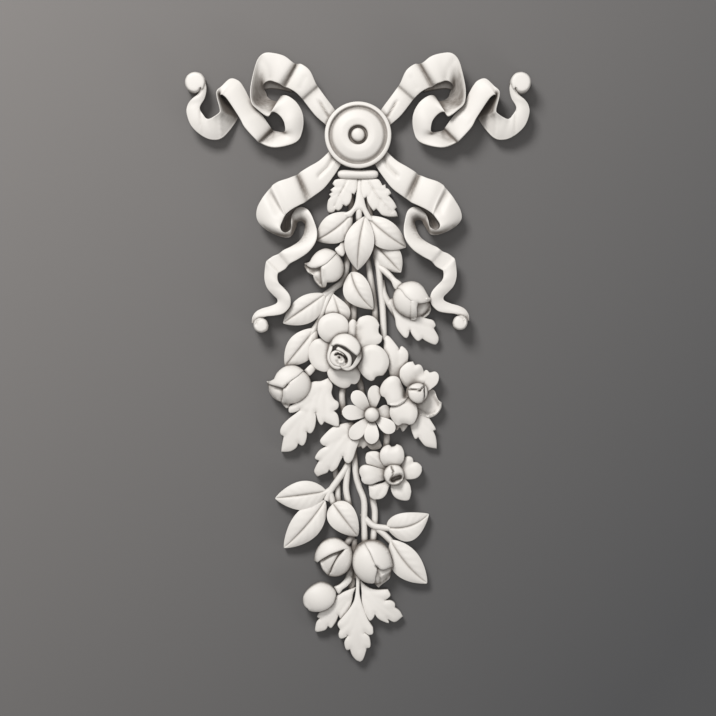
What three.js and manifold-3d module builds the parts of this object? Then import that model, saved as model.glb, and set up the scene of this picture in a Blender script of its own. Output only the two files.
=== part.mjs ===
// Cast polyurethane wall moulding: a ribbon bow round a turned rosette, with a long drop of
// leaves, buds and flowers hanging below it, all one casting with a flat back.
// Frame, in millimetres: the origin is the rosette's centre on the wall plane, x runs to the
// right, z runs up, and the carved front stands off the wall towards -y.
import * as THREE from 'three';
import { mergeVertices } from 'three/addons/utils/BufferGeometryUtils.js';
import Module from 'manifold-3d';

const wasm = await Module();
wasm.setup();

// Driving sizes of the casting, in millimetres
const overallHeight = 611;
const rosetteRadius = 33.3;
const rosetteRimHeight = 22;
const rosetteCrestHeight = 25;
const rosetteGrooveHeight = 18;
const rosetteRimWidth = 3.4;
const rosetteCoveWidth = 3;
const rosetteWellWidth = 2.6;
const buttonRadius = 6.8;
const buttonHeight = 27;
const collarLength = 41;
const collarWidth = 9.3;
const collarHeight = 18;
const collarRise = 5;
const collarGap = 1;
const ribbonEdge = 3.6;
const ribbonCrown = 1.6;
const scrollDiscHeight = 25;
const scrollDiscRise = 2.5;
const leafEdgeDrop = 1.5;
const leafGroove = 1.3;
const leafCamber = 1.6;
const stemWidth = 6.4;
const stemStep = 30;
const domeSteps = 3;
const budPetalStep = 2;
const petalStep = 1.5;
const petalStations = 4;
const lowestHeight = 0.9;
const daisyButtonRadius = 7.3;
const daisyButtonHeight = 24;
const roseHeartHeight = 37;
const castingColour = 0xe8e4dd;

// The casting's layout, as shares of its own height: places are read on a sheet whose units
// are counted from the top left corner, with y running down.
const sheetHeight = 611;
const unit = overallHeight / sheetHeight;
const sheetCentreX = 358;
const sheetCentreY = 135;

// Proportions of the free carving, as shares of the form they shape
const ribbonFootInset = 0.2;
const lowestEdgeShare = 0.4;
const endShare = 0.05;
const endCrowding = 0.06;
const stemShoulder = 0.8;

// How the right lower ribbon differs from the left one, in sheet units: from its start down the
// sheet, over a stretch, it moves out and up until it hangs that much wider and higher.
const tailStart = 200;
const tailStretch = 36;
const tailOut = 5;
const tailRise = 2.6;

// How far the joined skin may stray when flat neighbours are merged, in millimetres
const mergeTolerance = 0.4;

// A place on the layout sheet at a height above the wall, as a point of the part.
function point(sheetX, sheetY, height) {
  return new THREE.Vector3((sheetX - sheetCentreX) * unit, -height, (sheetCentreY - sheetY) * unit);
}

// A closed geometry as a solid that can be joined and cut.
function solidOf(geometry) {
  geometry.deleteAttribute('normal');
  geometry.deleteAttribute('uv');
  const merged = mergeVertices(geometry, 1e-5);
  const triVerts = new Uint32Array(merged.index.array);
  const vertProperties = new Float32Array(merged.attributes.position.array);
  return new wasm.Manifold(new wasm.Mesh({ numProp: 3, vertProperties, triVerts }));
}

// A closed surface through rings of as many points each, capped flat at both ends.
function loft(rings) {
  const positions = [];
  const face = (a, b, c) => positions.push(...a.toArray(), ...b.toArray(), ...c.toArray());
  const count = rings[0].length;
  for (let i = 0; i + 1 < rings.length; i += 1) {
    for (let j = 0; j < count; j += 1) {
      const k = (j + 1) % count;
      face(rings[i][j], rings[i + 1][j], rings[i + 1][k]);
      face(rings[i][j], rings[i + 1][k], rings[i][k]);
    }
  }
  for (const [ring, turned] of [[rings[0], false], [rings[rings.length - 1], true]]) {
    const middle = new THREE.Vector3();
    ring.forEach((corner) => middle.addScaledVector(corner, 1 / count));
    for (let j = 0; j < count; j += 1) {
      const next = ring[(j + 1) % count];
      if (turned) face(middle, next, ring[j]);
      else face(middle, ring[j], next);
    }
  }
  return solidFacingOut(positions);
}

// The solid of a list of triangles, turned round if they face inwards.
function solidFacingOut(positions) {
  let volume = 0;
  const [a, b, c] = [new THREE.Vector3(), new THREE.Vector3(), new THREE.Vector3()];
  for (let i = 0; i < positions.length; i += 9) {
    a.fromArray(positions, i);
    b.fromArray(positions, i + 3);
    c.fromArray(positions, i + 6);
    volume += a.dot(b.cross(c));
  }
  if (volume < 0) {
    for (let i = 0; i < positions.length; i += 9) {
      for (let k = 0; k < 3; k += 1) {
        [positions[i + 3 + k], positions[i + 6 + k]] = [positions[i + 6 + k], positions[i + 3 + k]];
      }
    }
  }
  const geometry = new THREE.BufferGeometry();
  const flush = positions.map((value) => (Math.abs(value) < 1e-9 ? 0 : value));
  geometry.setAttribute('position', new THREE.Float32BufferAttribute(flush, 3));
  return solidOf(geometry);
}

// One cross-section: the carved front from edge to edge, then sides that run back to the wall,
// straight, or undercut behind an edge of its own thickness.
function section(front, footInset = 0, edgeThickness = 0) {
  const first = front[0];
  const last = front[front.length - 1];
  const lower = (corner) => {
    const height = Math.max(-corner.y - edgeThickness, -corner.y * lowestEdgeShare);
    return new THREE.Vector3(corner.x, -height, corner.z);
  };
  const foot = (corner, other) => new THREE.Vector3(
    THREE.MathUtils.lerp(corner.x, other.x, footInset), 0,
    THREE.MathUtils.lerp(corner.z, other.z, footInset));
  if (edgeThickness === 0) return [...front, foot(last, first), foot(first, last)];
  return [...front, lower(last), foot(last, first), foot(first, last), lower(first)];
}

// A ribbon through stations of its right edge and its left edge, each with its own height and
// the crown between them.
function ribbon(stations) {
  return loft(stations.map(([rightX, rightY, rightHeight, leftX, leftY, leftHeight, crown]) => {
    const right = point(rightX, rightY, rightHeight);
    const left = point(leftX, leftY, leftHeight);
    const middle = right.clone().lerp(left, 0.5);
    middle.y -= crown ?? ribbonCrown;
    return section([right, middle, left], ribbonFootInset, ribbonEdge);
  }));
}

// A leaf or petal along its midrib from base to tip. Left and right are the half widths on
// either side, bow bends the midrib to the left, and heights are those at base, middle and tip.
function blade({
  base, tip, left, right = left, bow = 0, widest = 0.45, fullness = 0.8, heights,
  camber = leafCamber, groove = leafGroove, edgeDrop = leafEdgeDrop, stations = 5,
}) {
  const along = [tip[0] - base[0], tip[1] - base[1]];
  const length = Math.hypot(...along);
  const [dx, dy] = [along[0] / length, along[1] / length];
  const shift = Math.log(0.5) / Math.log(widest);
  const rings = [];
  for (let i = 0; i <= stations; i += 1) {
    const even = i / stations;
    const s = even - endCrowding * Math.sin(2 * Math.PI * even);
    const bend = bow * 4 * s * (1 - s);
    const x = base[0] + along[0] * s + dy * bend;
    const y = base[1] + along[1] * s - dx * bend;
    const span = Math.max(Math.sin(Math.PI * s ** shift) ** fullness, endShare);
    const height = heights[0] * (1 - s) * (1 - 2 * s) + heights[1] * 4 * s * (1 - s)
      + heights[2] * s * (2 * s - 1);
    const across = (side, rise) => point(
      x + dy * side * span, y - dx * side * span, Math.max(height + rise * span, lowestHeight));
    const quarters = camber === 0 ? [] : [0.5];
    rings.push(section([
      across(left, -edgeDrop), ...quarters.map((share) => across(left * share, camber)), across(0, -groove),
      ...quarters.map((share) => across(-right * share, camber)), across(-right, -edgeDrop),
    ]));
  }
  return loft(rings);
}

// A lobed leaf: a main blade and side lobes that spring from its midrib. A lobe is the share
// of the midrib it springs from, its tip and its half width.
function lobedLeaf({ base, tip, lobes, heights, ...rest }) {
  const main = blade({ base, tip, heights, ...rest });
  return lobes.reduce((leaf, [share, x, y, halfWidth]) => {
    const root = [THREE.MathUtils.lerp(base[0], tip[0], share), THREE.MathUtils.lerp(base[1], tip[1], share)];
    const rootHeight = THREE.MathUtils.lerp(heights[0], heights[1], share);
    return leaf.add(blade({
      base: root, tip: [x, y], left: halfWidth, widest: 0.5, stations: 3, groove: -leafCamber, camber: 0,
      heights: [rootHeight - 1, rootHeight, heights[2]],
    }));
  }, main);
}

// A dome on a straight-sided foot: an ellipse seen from the front, long along the given turn.
function dome({ centre, along, across = along, turn = 0, height, shoulder, sides = 10 }) {
  const profile = [];
  for (let i = 0; i <= domeSteps; i += 1) {
    const angle = (Math.PI / 2) * (i / domeSteps);
    profile.push(new THREE.Vector2(Math.sin(angle), shoulder + (height - shoulder) * Math.cos(angle)));
  }
  profile[0].x = 0;
  const geometry = new THREE.LatheGeometry([...profile, new THREE.Vector2(1, 0), new THREE.Vector2(0, 0)], sides);
  geometry.scale(across * unit, 1, along * unit);
  geometry.rotateY(THREE.MathUtils.degToRad(turn));
  geometry.rotateZ(Math.PI);
  const place = point(centre[0], centre[1], 0);
  geometry.translate(place.x, 0, place.z);
  return solidFacingOut([...geometry.toNonIndexed().attributes.position.array]);
}

// A stem along a curve through places, each with its height: a half-round rod whose foot
// reaches the wall.
function stem(places, width = stemWidth) {
  const curve = new THREE.CatmullRomCurve3(places.map(([x, y, height]) => point(x, y, height)));
  const steps = Math.max(2, Math.round(curve.getLength() / stemStep));
  const half = width / 2;
  const rings = [];
  for (let i = 0; i <= steps; i += 1) {
    const place = curve.getPoint(i / steps);
    const heading = curve.getTangent(i / steps);
    const side = new THREE.Vector3(heading.z, 0, -heading.x).normalize();
    const corner = (across, drop) => place.clone().addScaledVector(side, across * half)
      .setY(Math.min(place.y + drop, -lowestHeight));
    const ring = [corner(-1, half * stemShoulder), corner(0, 0), corner(1, half * stemShoulder)];
    const foot = (across) => place.clone().addScaledVector(side, across * half).setY(0);
    rings.push([...ring, foot(1), foot(-1)]);
  }
  return loft(rings);
}

// A solid turned on the rosette's own axis from a profile of radii and heights.
function turned(centre, profile, sides, lean = 0) {
  const geometry = new THREE.LatheGeometry(profile.map(([radius, high]) => new THREE.Vector2(radius, high)), sides);
  geometry.rotateZ(Math.PI);
  if (lean) geometry.rotateY(lean);
  const place = point(centre[0], centre[1], 0);
  geometry.translate(place.x, 0, place.z);
  return solidFacingOut([...geometry.toNonIndexed().attributes.position.array]);
}

function rosette() {
  const r = rosetteRadius;
  const well = rosetteGrooveHeight - 0.6;
  const cove = rosetteGrooveHeight + 1.1;
  const wellEdge = buttonRadius + rosetteWellWidth;
  const profile = [
    [0, buttonHeight], [buttonRadius * 0.7, buttonHeight - 1.2], [buttonRadius, buttonHeight - 4],
    [buttonRadius + 0.4, well], [wellEdge, well], [wellEdge + 0.6, rosetteCrestHeight - 1.6],
    [r * 0.5, rosetteCrestHeight], [r * 0.64, rosetteCrestHeight - 1.3],
    [r - rosetteRimWidth - rosetteCoveWidth, cove], [r - rosetteRimWidth - 1, cove],
    [r - rosetteRimWidth, rosetteRimHeight - 0.3], [r - 1, rosetteRimHeight - 0.3],
    [r, rosetteRimHeight - 1.6], [r, rosetteRimHeight - 7], [r - 5, 0], [0, 0],
  ];
  return turned([sheetCentreX, sheetCentreY], profile, 28);
}

// The rounded bar that ties the drop to the rosette.
function collar() {
  const half = collarLength / 2;
  const drop = rosetteRadius + collarWidth / 2 + collarGap;
  const base = collarHeight - collarRise;
  const rings = [-1, -0.94, -0.8, 0.8, 0.94, 1].map((share) => {
    const swell = Math.sqrt(Math.max(1 - Math.abs(share) ** 8, 0.2));
    const ring = [];
    for (let i = 0; i <= 6; i += 1) {
      const angle = (Math.PI * i) / 6;
      ring.push(new THREE.Vector3(
        share * half, -(base + collarRise * Math.sin(angle) * swell),
        -drop + Math.cos(angle) * (collarWidth / 2) * swell));
    }
    const foot = (side) => new THREE.Vector3(share * half, 0, -drop + side * (collarWidth / 2) * swell);
    return [...ring, foot(-1), foot(1)];
  });
  return loft(rings);
}

// Stations of the upper left ribbon, from under the rosette to its scrolled end.
const upperRibbon = [
  [341, 119, 12, 333, 134, 12], [334, 108, 14, 325.5, 124.5, 14], [325, 96, 15.5, 315, 115, 15.5],
  [318.5, 87, 15, 304, 101, 15], [315.8, 83.2, 19.5, 300.8, 97.3, 19], [310, 71, 22, 295, 92, 21],
  [302, 64.5, 21, 288, 88, 20], [296.8, 63.8, 18, 284.2, 86.7, 17], [293, 63, 25, 279.7, 84.2, 24],
  [285, 57, 26, 275, 82.5, 25], [275, 53.5, 26, 271, 81.5, 22],
  [265, 53, 26, 267, 83, 14, 3], [258, 60, 27, 265.3, 85.5, 6, 1], [253.5, 74, 28, 265, 88, 3, -2],
  [250.5, 90, 28, 265.5, 91, 2, -3], [251.5, 103, 28, 267, 95, 2, -3], [257, 109.5, 28, 271, 98.5, 2, -1],
  [267.5, 117, 27, 277.5, 100, 8], [272, 112.5, 25, 281, 95.5, 14], [277, 113.5, 22, 288, 96, 19],
  [282, 118.5, 22, 297, 103, 20], [284.5, 124, 22, 303, 115, 18, 3], [285, 131, 20, 302.5, 130, 16, 3],
  [281, 131.5, 12, 296, 142, 18, 3], [274.5, 130, 7, 275, 147.7, 22, 2], [272, 128.5, 6, 260.5, 143, 17, 0],
  [270, 126, 14, 256, 140, 24, 1], [262, 115, 18, 245, 128, 25], [254, 106, 18, 239.5, 118, 25],
  [243, 86, 21, 228, 100.5, 26], [237, 80, 21, 223.5, 96, 26], [230, 79, 21, 221.5, 95.3, 26],
  [222, 86.5, 24, 220.5, 96, 22], [217, 91.5, 27, 221.5, 97.5, 12], [217, 98, 28, 227, 100, 3, -1],
  [220, 110, 27, 236, 113, 2, -2], [218.5, 114, 26, 235.5, 120, 4, 0], [210.5, 118.6, 22, 223, 136.5, 12],
  [206.5, 118.5, 20, 212, 139.3, 14], [203.5, 115, 20, 201, 135, 16], [200.5, 110.5, 20, 191, 125.5, 18],
  [200, 107, 20, 186.5, 113, 18], [202, 103, 20, 187.5, 105, 18], [204.5, 99, 20, 191.5, 99.5, 20],
  [206.3, 93, 21, 197.5, 94.5, 20], [206.6, 87, 22, 199.5, 90, 21], [205, 80, 22, 198, 85, 21],
];

// Stations of the lower left ribbon, from under the rosette to its scrolled end.
const lowerRibbon = [
  [338, 140, 12, 348, 152, 12], [328, 152, 14, 340, 166, 14], [319, 160.5, 16, 333, 176.5, 16],
  [309, 166.5, 18, 324, 188, 18], [301, 171.5, 17.5, 313.5, 196, 17.5], [297.5, 174.3, 14.5, 309, 199, 14.5, 0],
  [294.5, 175.8, 19, 305, 202.5, 20], [288, 178.5, 22, 300, 205, 23], [279, 181.5, 23, 292, 209.5, 24.5],
  [273, 185, 20, 287, 213.5, 23], [271.2, 187.5, 18, 285.5, 215.5, 21, 0], [268.5, 190, 21, 284.5, 217, 25],
  [262, 198.5, 20, 282.5, 221.5, 26],
  [256.8, 209, 18, 280.8, 226, 27], [257, 219.5, 16, 281, 229.5, 28], [264, 228, 16, 283, 232, 28],
  [275, 234.5, 18, 286, 233, 28], [285, 237.6, 18, 289, 231.5, 27], [291.5, 236, 18, 291, 228.5, 24],
  [295.8, 227, 10, 291, 221, 18, 1], [297, 222, 6, 292, 214, 12, 3], [301, 220.5, 5, 299, 206.5, 11, 5],
  [304.5, 223.5, 6, 308.5, 210, 14, 4], [304.5, 229, 9, 315, 223.5, 19], [303, 235, 13, 317.3, 234, 21],
  [299, 241, 16, 315, 243.5, 23], [291, 246.5, 19, 308, 252.5, 23], [284.5, 249.5, 19, 298.5, 259, 22],
  [281, 252, 16, 291, 263, 18, 0], [278, 254, 19, 287.5, 266.5, 20], [273, 256, 19, 285, 269.5, 21],
  [267.5, 260, 19, 280, 272.5, 19], [266, 262, 15.5, 278, 274, 16, 0],
  [264.8, 268, 17, 277.5, 278, 19], [264.3, 279, 17, 279, 283, 20], [267, 288, 17, 284, 288, 19],
  [272.5, 294.5, 16, 289, 294, 20], [277, 299, 16, 290.8, 300, 20], [276.5, 303, 16, 289.5, 307, 18],
  [270, 306, 15, 283, 313.5, 18], [262, 308.3, 15, 274, 315.6, 18], [256, 311.5, 15, 266, 316.5, 18],
  [252.2, 317, 15, 259.5, 319.5, 17], [251.5, 323, 15, 258, 323, 16],
];

// The discs that the ribbon ends scroll into: centre and radius.
const scrollDiscs = [
  { centre: [195.5, 82.7], along: 10.3 },
  { centre: [261, 325.3], along: 7.3 },
];

// The stalks of the drop. The first one is the low web that joins the collar to the rosette.
const stems = [
  [[358, 152, 8], [358, 164, 8], [358, 176, 9]],
  [[359.5, 176, 11], [359, 190, 11], [359, 204, 12], [359, 224, 12]],
  [[359, 196, 12], [355, 206, 13], [349, 216, 13]],
  [[359, 196, 12], [363, 206, 13], [368, 216, 13]],
  [[349, 178, 6], [351, 200, 7], [350, 225, 7], [347, 250, 7]],
  [[368, 178, 6], [368, 200, 7], [372, 225, 7], [375, 250, 8], [378, 265, 9]],
  [[348, 235, 8], [347, 262, 9], [343, 280, 9], [335, 287, 10], [324, 295, 10]],
  [[344, 243, 10], [341, 250, 11], [337, 256, 14]],
  [[332, 290, 9], [327, 300, 10], [322, 312, 11], [317, 325, 11], [308, 337, 11]],
  [[375, 245, 8], [378, 262, 10], [381, 290, 10], [383, 312, 10], [384, 340, 10]],
  [[364, 224, 6], [368, 260, 5], [374, 300, 6], [377, 340, 6]],
  [[378, 268, 10], [384, 271, 14], [392, 278, 17], [400, 287, 18]],
  [[383, 290, 9], [390, 300, 9], [398, 310, 9]],
  [[355, 262, 6], [354, 300, 7], [353, 330, 7]],
  [[345, 262, 6], [347, 285, 7], [349, 330, 7]],
  [[306, 366, 18], [312, 366, 16], [322, 367, 12]],
  [[345, 380, 6], [342, 395, 8], [344, 415, 8]],
  [[358, 375, 6], [362, 395, 7], [362, 425, 7], [354, 440, 8]],
  [[349, 450, 9], [347, 475, 9], [346, 490, 9], [349, 506, 9]],
  [[345, 470, 9], [335, 483, 10], [330, 492, 10], [326, 501, 10]],
  [[333, 488, 10], [326, 493, 10], [316, 494, 10]],
  [[330, 494, 10], [333, 503, 10], [337, 512, 11]],
  [[334, 465, 6], [337, 482, 6], [338, 500, 6], [341, 520, 6]],
  [[353, 445, 9], [356, 475, 9], [359, 487, 9], [364, 502, 10], [364, 525, 10], [365, 545, 10]],
  [[384, 424, 7], [387, 436, 8], [385, 450, 7], [377, 475, 7], [373, 497, 8], [375, 515, 8], [373, 545, 9]],
  [[347, 500, 7], [352, 520, 7], [352, 540, 8]],
  [[366, 520, 10], [374, 527, 11], [390, 529, 11]],
  [[374, 527, 9], [384, 535, 10], [394, 545, 10]],
  [[354, 540, 7], [356, 560, 7], [357, 585, 8]],
  [[356, 562, 8], [347, 578, 11], [330, 592, 13]],
  [[357, 524, 8], [352, 536, 9], [343, 550, 12]],
  [[365, 555, 7], [361, 575, 7], [358, 592, 8]],
];

const leaves = [
  { base: [352, 213], tip: [316, 240], left: 14, right: 14.5, bow: 2.5, widest: 0.5, heights: [11, 17, 9] },
  { base: [374, 243], tip: [401, 272], left: 14, right: 10, widest: 0.5, heights: [8, 11, 8] },
  { base: [367, 216], tip: [406, 247], left: 12.5, right: 15, bow: -2, widest: 0.5, heights: [11, 18, 10] },
  { base: [365, 216], tip: [357.5, 269.5], left: 14.5, bow: -2, widest: 0.5, heights: [13, 22, 11] },
  { base: [351, 272], tip: [373, 309], left: 13, right: 14, bow: -4, widest: 0.42, heights: [10, 17, 9] },
  { base: [325, 294], tip: [283, 323], left: 15, right: 11.5, widest: 0.48, heights: [9, 13, 8] },
  { base: [338, 293], tip: [341, 325], left: 13, heights: [9, 14, 10] },
  { base: [316, 328], tip: [285, 366], left: 14.5, right: 13, widest: 0.5, heights: [9, 13, 8] },
  { base: [326, 492], tip: [275, 499], left: 15.5, right: 13, heights: [9, 14, 8] },
  { base: [325, 501], tip: [284, 548.5], left: 13, right: 14.5, bow: 2, widest: 0.5, heights: [9, 14, 8] },
  { base: [332, 505], tip: [358, 536], left: 15, right: 15.5, widest: 0.4, fullness: 0.6, heights: [12, 18, 11] },
  { base: [387, 528], tip: [429, 515], left: 14, right: 14.5, bow: -5, widest: 0.4, heights: [10, 15, 9] },
  { base: [391, 541], tip: [427, 584], left: 14.5, bow: -3, widest: 0.47, heights: [10, 14, 9] },
  { base: [367, 424], tip: [367, 451], left: 14, fullness: 0.5, heights: [7, 8, 6] },
];

const lobedLeaves = [
  {
    base: [353, 178], tip: [329, 211.5], left: 9, right: 7, heights: [13, 13, 9],
    lobes: [[0.05, 335, 186, 5], [0.3, 329.5, 197, 5.5], [0.45, 343, 207, 6], [0.2, 352, 203, 6]],
  },
  {
    base: [365, 178], tip: [398, 216.5], left: 9, right: 8, heights: [13, 13, 9],
    lobes: [[0.1, 364.5, 198, 5.5], [0.3, 375, 211, 6.5], [0.55, 387, 217, 5.5], [0.15, 391, 192, 6.5], [0.4, 397, 204, 6]],
  },
  {
    base: [392, 300], tip: [438, 345], left: 9, right: 11, heights: [9, 12, 8],
    lobes: [[0.4, 436, 323, 8], [0.4, 418, 341, 7.5], [0.1, 406, 338, 8]],
  },
  {
    base: [414, 410], tip: [437, 449.5], left: 9, right: 10, heights: [9, 11, 8],
    lobes: [[0.2, 437, 428, 7], [0.3, 416, 440, 6.5]],
  },
  { base: [398, 380], tip: [386, 335], left: 8, right: 10, heights: [9, 12, 9], lobes: [[0.15, 409, 350, 8]] },
  { base: [404, 412], tip: [402, 434], left: 6, right: 6, heights: [9, 11, 9], lobes: [] },
  {
    base: [330, 376], tip: [281, 452.5], left: 15, right: 15, widest: 0.3, fullness: 1.1, heights: [10, 15, 9],
    lobes: [[0.1, 339, 407, 8], [0.25, 338, 427, 8.5], [0.35, 320, 425, 6], [0.5, 308, 434, 6],
      [0.6, 302, 446, 6.5], [0.5, 280, 430, 7.5], [0.25, 289, 410, 7]],
  },
  {
    base: [353, 428], tip: [316, 477.5], left: 12, right: 11, widest: 0.42, heights: [10, 14, 9],
    lobes: [[0.15, 320, 442, 8], [0.4, 315, 458, 7], [0.45, 332, 473, 7], [0.15, 350, 464, 8]],
  },
  {
    base: [353, 590], tip: [315, 633], left: 9, right: 9, heights: [10, 12, 8],
    lobes: [[0.2, 341, 621, 8], [0.45, 331, 630, 6], [0.45, 317, 617, 6]],
  },
  {
    base: [358, 582], tip: [360, 663], left: 11, right: 12, widest: 0.5, heights: [10, 14, 8],
    lobes: [[0.2, 338, 625, 8.5], [0.45, 341, 640, 7], [0.6, 346, 651, 6], [0.3, 374, 632, 8], [0.5, 371, 648, 7]],
  },
  {
    base: [359, 584], tip: [402, 619], left: 11, right: 12, widest: 0.55, heights: [10, 13, 8],
    lobes: [[0.2, 390, 591, 8], [0.5, 396, 603, 7], [0.45, 387, 624, 7], [0.1, 369, 621, 8]],
  },
];

// Buds: a round body, then the outer petals that wrap it, each a little off its centre.
const buds = [
  { body: { centre: [324, 268], along: 18.5, across: 18.5, height: 25, shoulder: 12 }, petals: [[5, -5, 13.5], [-5, 5, 13]] },
  { body: { centre: [411, 299], along: 18, across: 18.5, height: 26, shoulder: 13 }, petals: [[-1, -6, 14], [6, 5, 11]] },
  { body: { centre: [289, 385], along: 19, across: 20, height: 26, shoulder: 13 }, petals: [[4, -6, 14], [-3, 7, 14]] },
  { body: { centre: [334, 556], along: 18, across: 19, height: 27, shoulder: 13 }, petals: [[-4, -5, 14], [5, 5, 13]] },
  { body: { centre: [373, 563], along: 20.5, across: 19.5, height: 28, shoulder: 14 }, petals: [[-6, 0, 15], [7, 7, 11]] },
  { body: { centre: [320, 598], along: 17, across: 14, turn: 20, height: 23, shoulder: 12 }, petals: [] },
];

// Flowers: petals from the heart outwards, each with the place of its end and half width.
const flowers = [
  {
    heart: [343, 352], inner: 12, heights: [13, 17, 18],
    petals: [[326, 312, 15.5], [379, 317, 18], [391, 367, 15.5], [344, 389, 15], [308, 357, 14]],
  },
  {
    heart: [372, 415], inner: 13, heights: [15, 18, 16],
    petals: [[374.5, 386.5, 7.2], [353, 393, 7.2], [343, 412.5, 7], [352, 435, 7.4], [372, 444, 7.4],
      [394, 433, 7.2], [400, 411, 6.6]],
  },
  {
    heart: [415, 391], inner: 14, heights: [15, 19, 20],
    petals: [[410, 361, 13], [437, 371, 11], [441, 408, 14], [404, 425, 14.5], [381, 391, 14.5]],
  },
  {
    heart: [393, 474], inner: 13, heights: [14, 17, 18],
    petals: [[391, 445, 12], [367, 455, 8], [358.5, 474, 10], [373, 499, 10.5], [404, 500, 11], [423.5, 466, 12]],
  },
];

function flower({ heart, petals, heights, inner }) {
  return petals.map(([x, y, halfWidth], index) => blade({
    base: heart, tip: [x, y], left: halfWidth, widest: 0.66, fullness: 0.55,
    heights: heights.map((height) => height - (index % 2) * petalStep), groove: 1, camber: 0, edgeDrop: -1,
    stations: petalStations,
  })).concat(dome({ centre: heart, along: inner, height: heights[0] + 2, shoulder: heights[0] - 3, sides: 10 }));
}

// The rose's heart: nested rolled petals that open to the front.
function roseHeart() {
  const cup = (centre, radius, lip, floor, lean) => turned(centre, [
    [0, floor], [radius * 0.62, floor + 0.5], [radius * 0.8, lip - 1.2], [radius * 0.92, lip],
    [radius, lip - 2.5], [radius * 0.98, lip - 9], [radius * 0.6, 0], [0, 0],
  ], 14, lean);
  return [
    cup([344.5, 352.5], 18.5, roseHeartHeight - 8, 21, 0),
    cup([341, 356], 10.5, roseHeartHeight - 2, 26, 0.4),
    dome({ centre: [340, 357], along: 5, height: roseHeartHeight, shoulder: 31, sides: 10 }),
  ];
}

function bud({ body, petals }) {
  const wraps = petals.map(([x, y, radius]) => dome({
    centre: [body.centre[0] + x, body.centre[1] + y], along: radius, height: body.height + budPetalStep,
    shoulder: body.shoulder,
  }));
  return [dome(body), ...wraps];
}

// A place of the left half where the right half has it, before it is turned over.
function hungWider([x, y]) {
  const share = THREE.MathUtils.smoothstep(y, tailStart, tailStart + tailStretch);
  return [x - tailOut * share, y - tailRise * share];
}

// One half of the bow. The right half is the left one turned over, but for its lower ribbon's
// tail, which hangs a little wider.
function bowHalf(side) {
  const placed = side < 0 ? (place) => place : hungWider;
  const stationed = ([ax, ay, ah, bx, by, ...rest]) => [...placed([ax, ay]), ah, ...placed([bx, by]), ...rest];
  const pieces = [
    ribbon(upperRibbon), ribbon(lowerRibbon.map(stationed)),
    ...scrollDiscs.map((disc) => dome({
      ...disc, centre: placed(disc.centre), height: scrollDiscHeight,
      shoulder: scrollDiscHeight - scrollDiscRise, sides: 12,
    })),
  ];
  return pieces.map((piece) => (side < 0 ? piece : piece.mirror([1, 0, 0])));
}

const pieces = [
  rosette(), collar(), ...bowHalf(-1), ...bowHalf(1),
  ...stems.map((places) => stem(places)),
  ...leaves.map(blade), ...lobedLeaves.map(lobedLeaf),
  ...buds.flatMap(bud), ...flowers.flatMap(flower), ...roseHeart(),
  dome({ centre: [372, 415], along: daisyButtonRadius, height: daisyButtonHeight, shoulder: 19, sides: 12 }),
  dome({ centre: [417, 391], along: 9.5, height: 30, shoulder: 22, sides: 12 }),
  dome({ centre: [393, 474], along: 9, height: 27, shoulder: 20, sides: 12 }),
  dome({ centre: [387, 471], along: 5, height: 26, shoulder: 19, sides: 8 }),
];

// The casting is solid all through, so only its outer skin is kept.
const joined = pieces.reduce((whole, piece) => whole.add(piece)).asOriginal().simplify(mergeTolerance);
const casting = joined.decompose().reduce((largest, body) => (body.volume() > largest.volume() ? body : largest));

// The solid's triangles as a mesh with the casting's finish.
function meshOf(name, solid) {
  const { vertProperties, triVerts } = solid.getMesh();
  const geometry = new THREE.BufferGeometry();
  geometry.setAttribute('position', new THREE.BufferAttribute(vertProperties, 3));
  geometry.setIndex(new THREE.BufferAttribute(triVerts, 1));
  const material = new THREE.MeshStandardMaterial({ color: castingColour, roughness: 0.62, metalness: 0 });
  const mesh = new THREE.Mesh(geometry, material);
  mesh.name = name;
  return mesh;
}

const moulding = new THREE.Group();
moulding.add(meshOf('moulding_casting', casting));

export default moulding;
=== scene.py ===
"""Fine model of a cast polyurethane wall moulding: a ribbon bow round a turned rosette, with a
long drop of leaves, buds and flowers, all one casting with a flat back.

Lengths are worked out in millimetres on the moulding's own layout and put into the meshes in
metres. The origin is the rosette's centre on the wall plane, x runs to the right, z runs up,
and the carved front stands off the wall towards -y.
"""
import logging
from dataclasses import dataclass, field
from enum import Enum

import bpy
import numpy as np
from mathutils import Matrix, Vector
from mathutils.geometry import delaunay_2d_cdt


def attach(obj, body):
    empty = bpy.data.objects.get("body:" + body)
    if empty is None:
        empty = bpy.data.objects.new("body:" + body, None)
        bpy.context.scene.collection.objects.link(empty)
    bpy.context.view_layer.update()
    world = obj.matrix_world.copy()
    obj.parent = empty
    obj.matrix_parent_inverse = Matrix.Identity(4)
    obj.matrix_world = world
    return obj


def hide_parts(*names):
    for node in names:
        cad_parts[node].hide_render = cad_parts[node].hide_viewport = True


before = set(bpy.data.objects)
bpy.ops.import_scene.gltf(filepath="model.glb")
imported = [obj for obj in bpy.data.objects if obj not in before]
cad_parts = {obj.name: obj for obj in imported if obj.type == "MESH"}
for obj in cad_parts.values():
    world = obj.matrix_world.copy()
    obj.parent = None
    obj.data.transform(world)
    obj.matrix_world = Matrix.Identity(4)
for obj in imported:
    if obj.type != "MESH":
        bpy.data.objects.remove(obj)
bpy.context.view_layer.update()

log = logging.getLogger("moulding")

# metres in a millimetre, and the least length that anything is divided by
MM = 0.001
TINY = 1e-9

Array = np.ndarray
Place = tuple[float, float]
Heights = tuple[float, float, float]
Colour = tuple[float, float, float]
Outline = list[list[Place]]


class Side(Enum):
    """The half of the bow that a ribbon belongs to."""

    LEFT = "left"
    RIGHT = "right"


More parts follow.
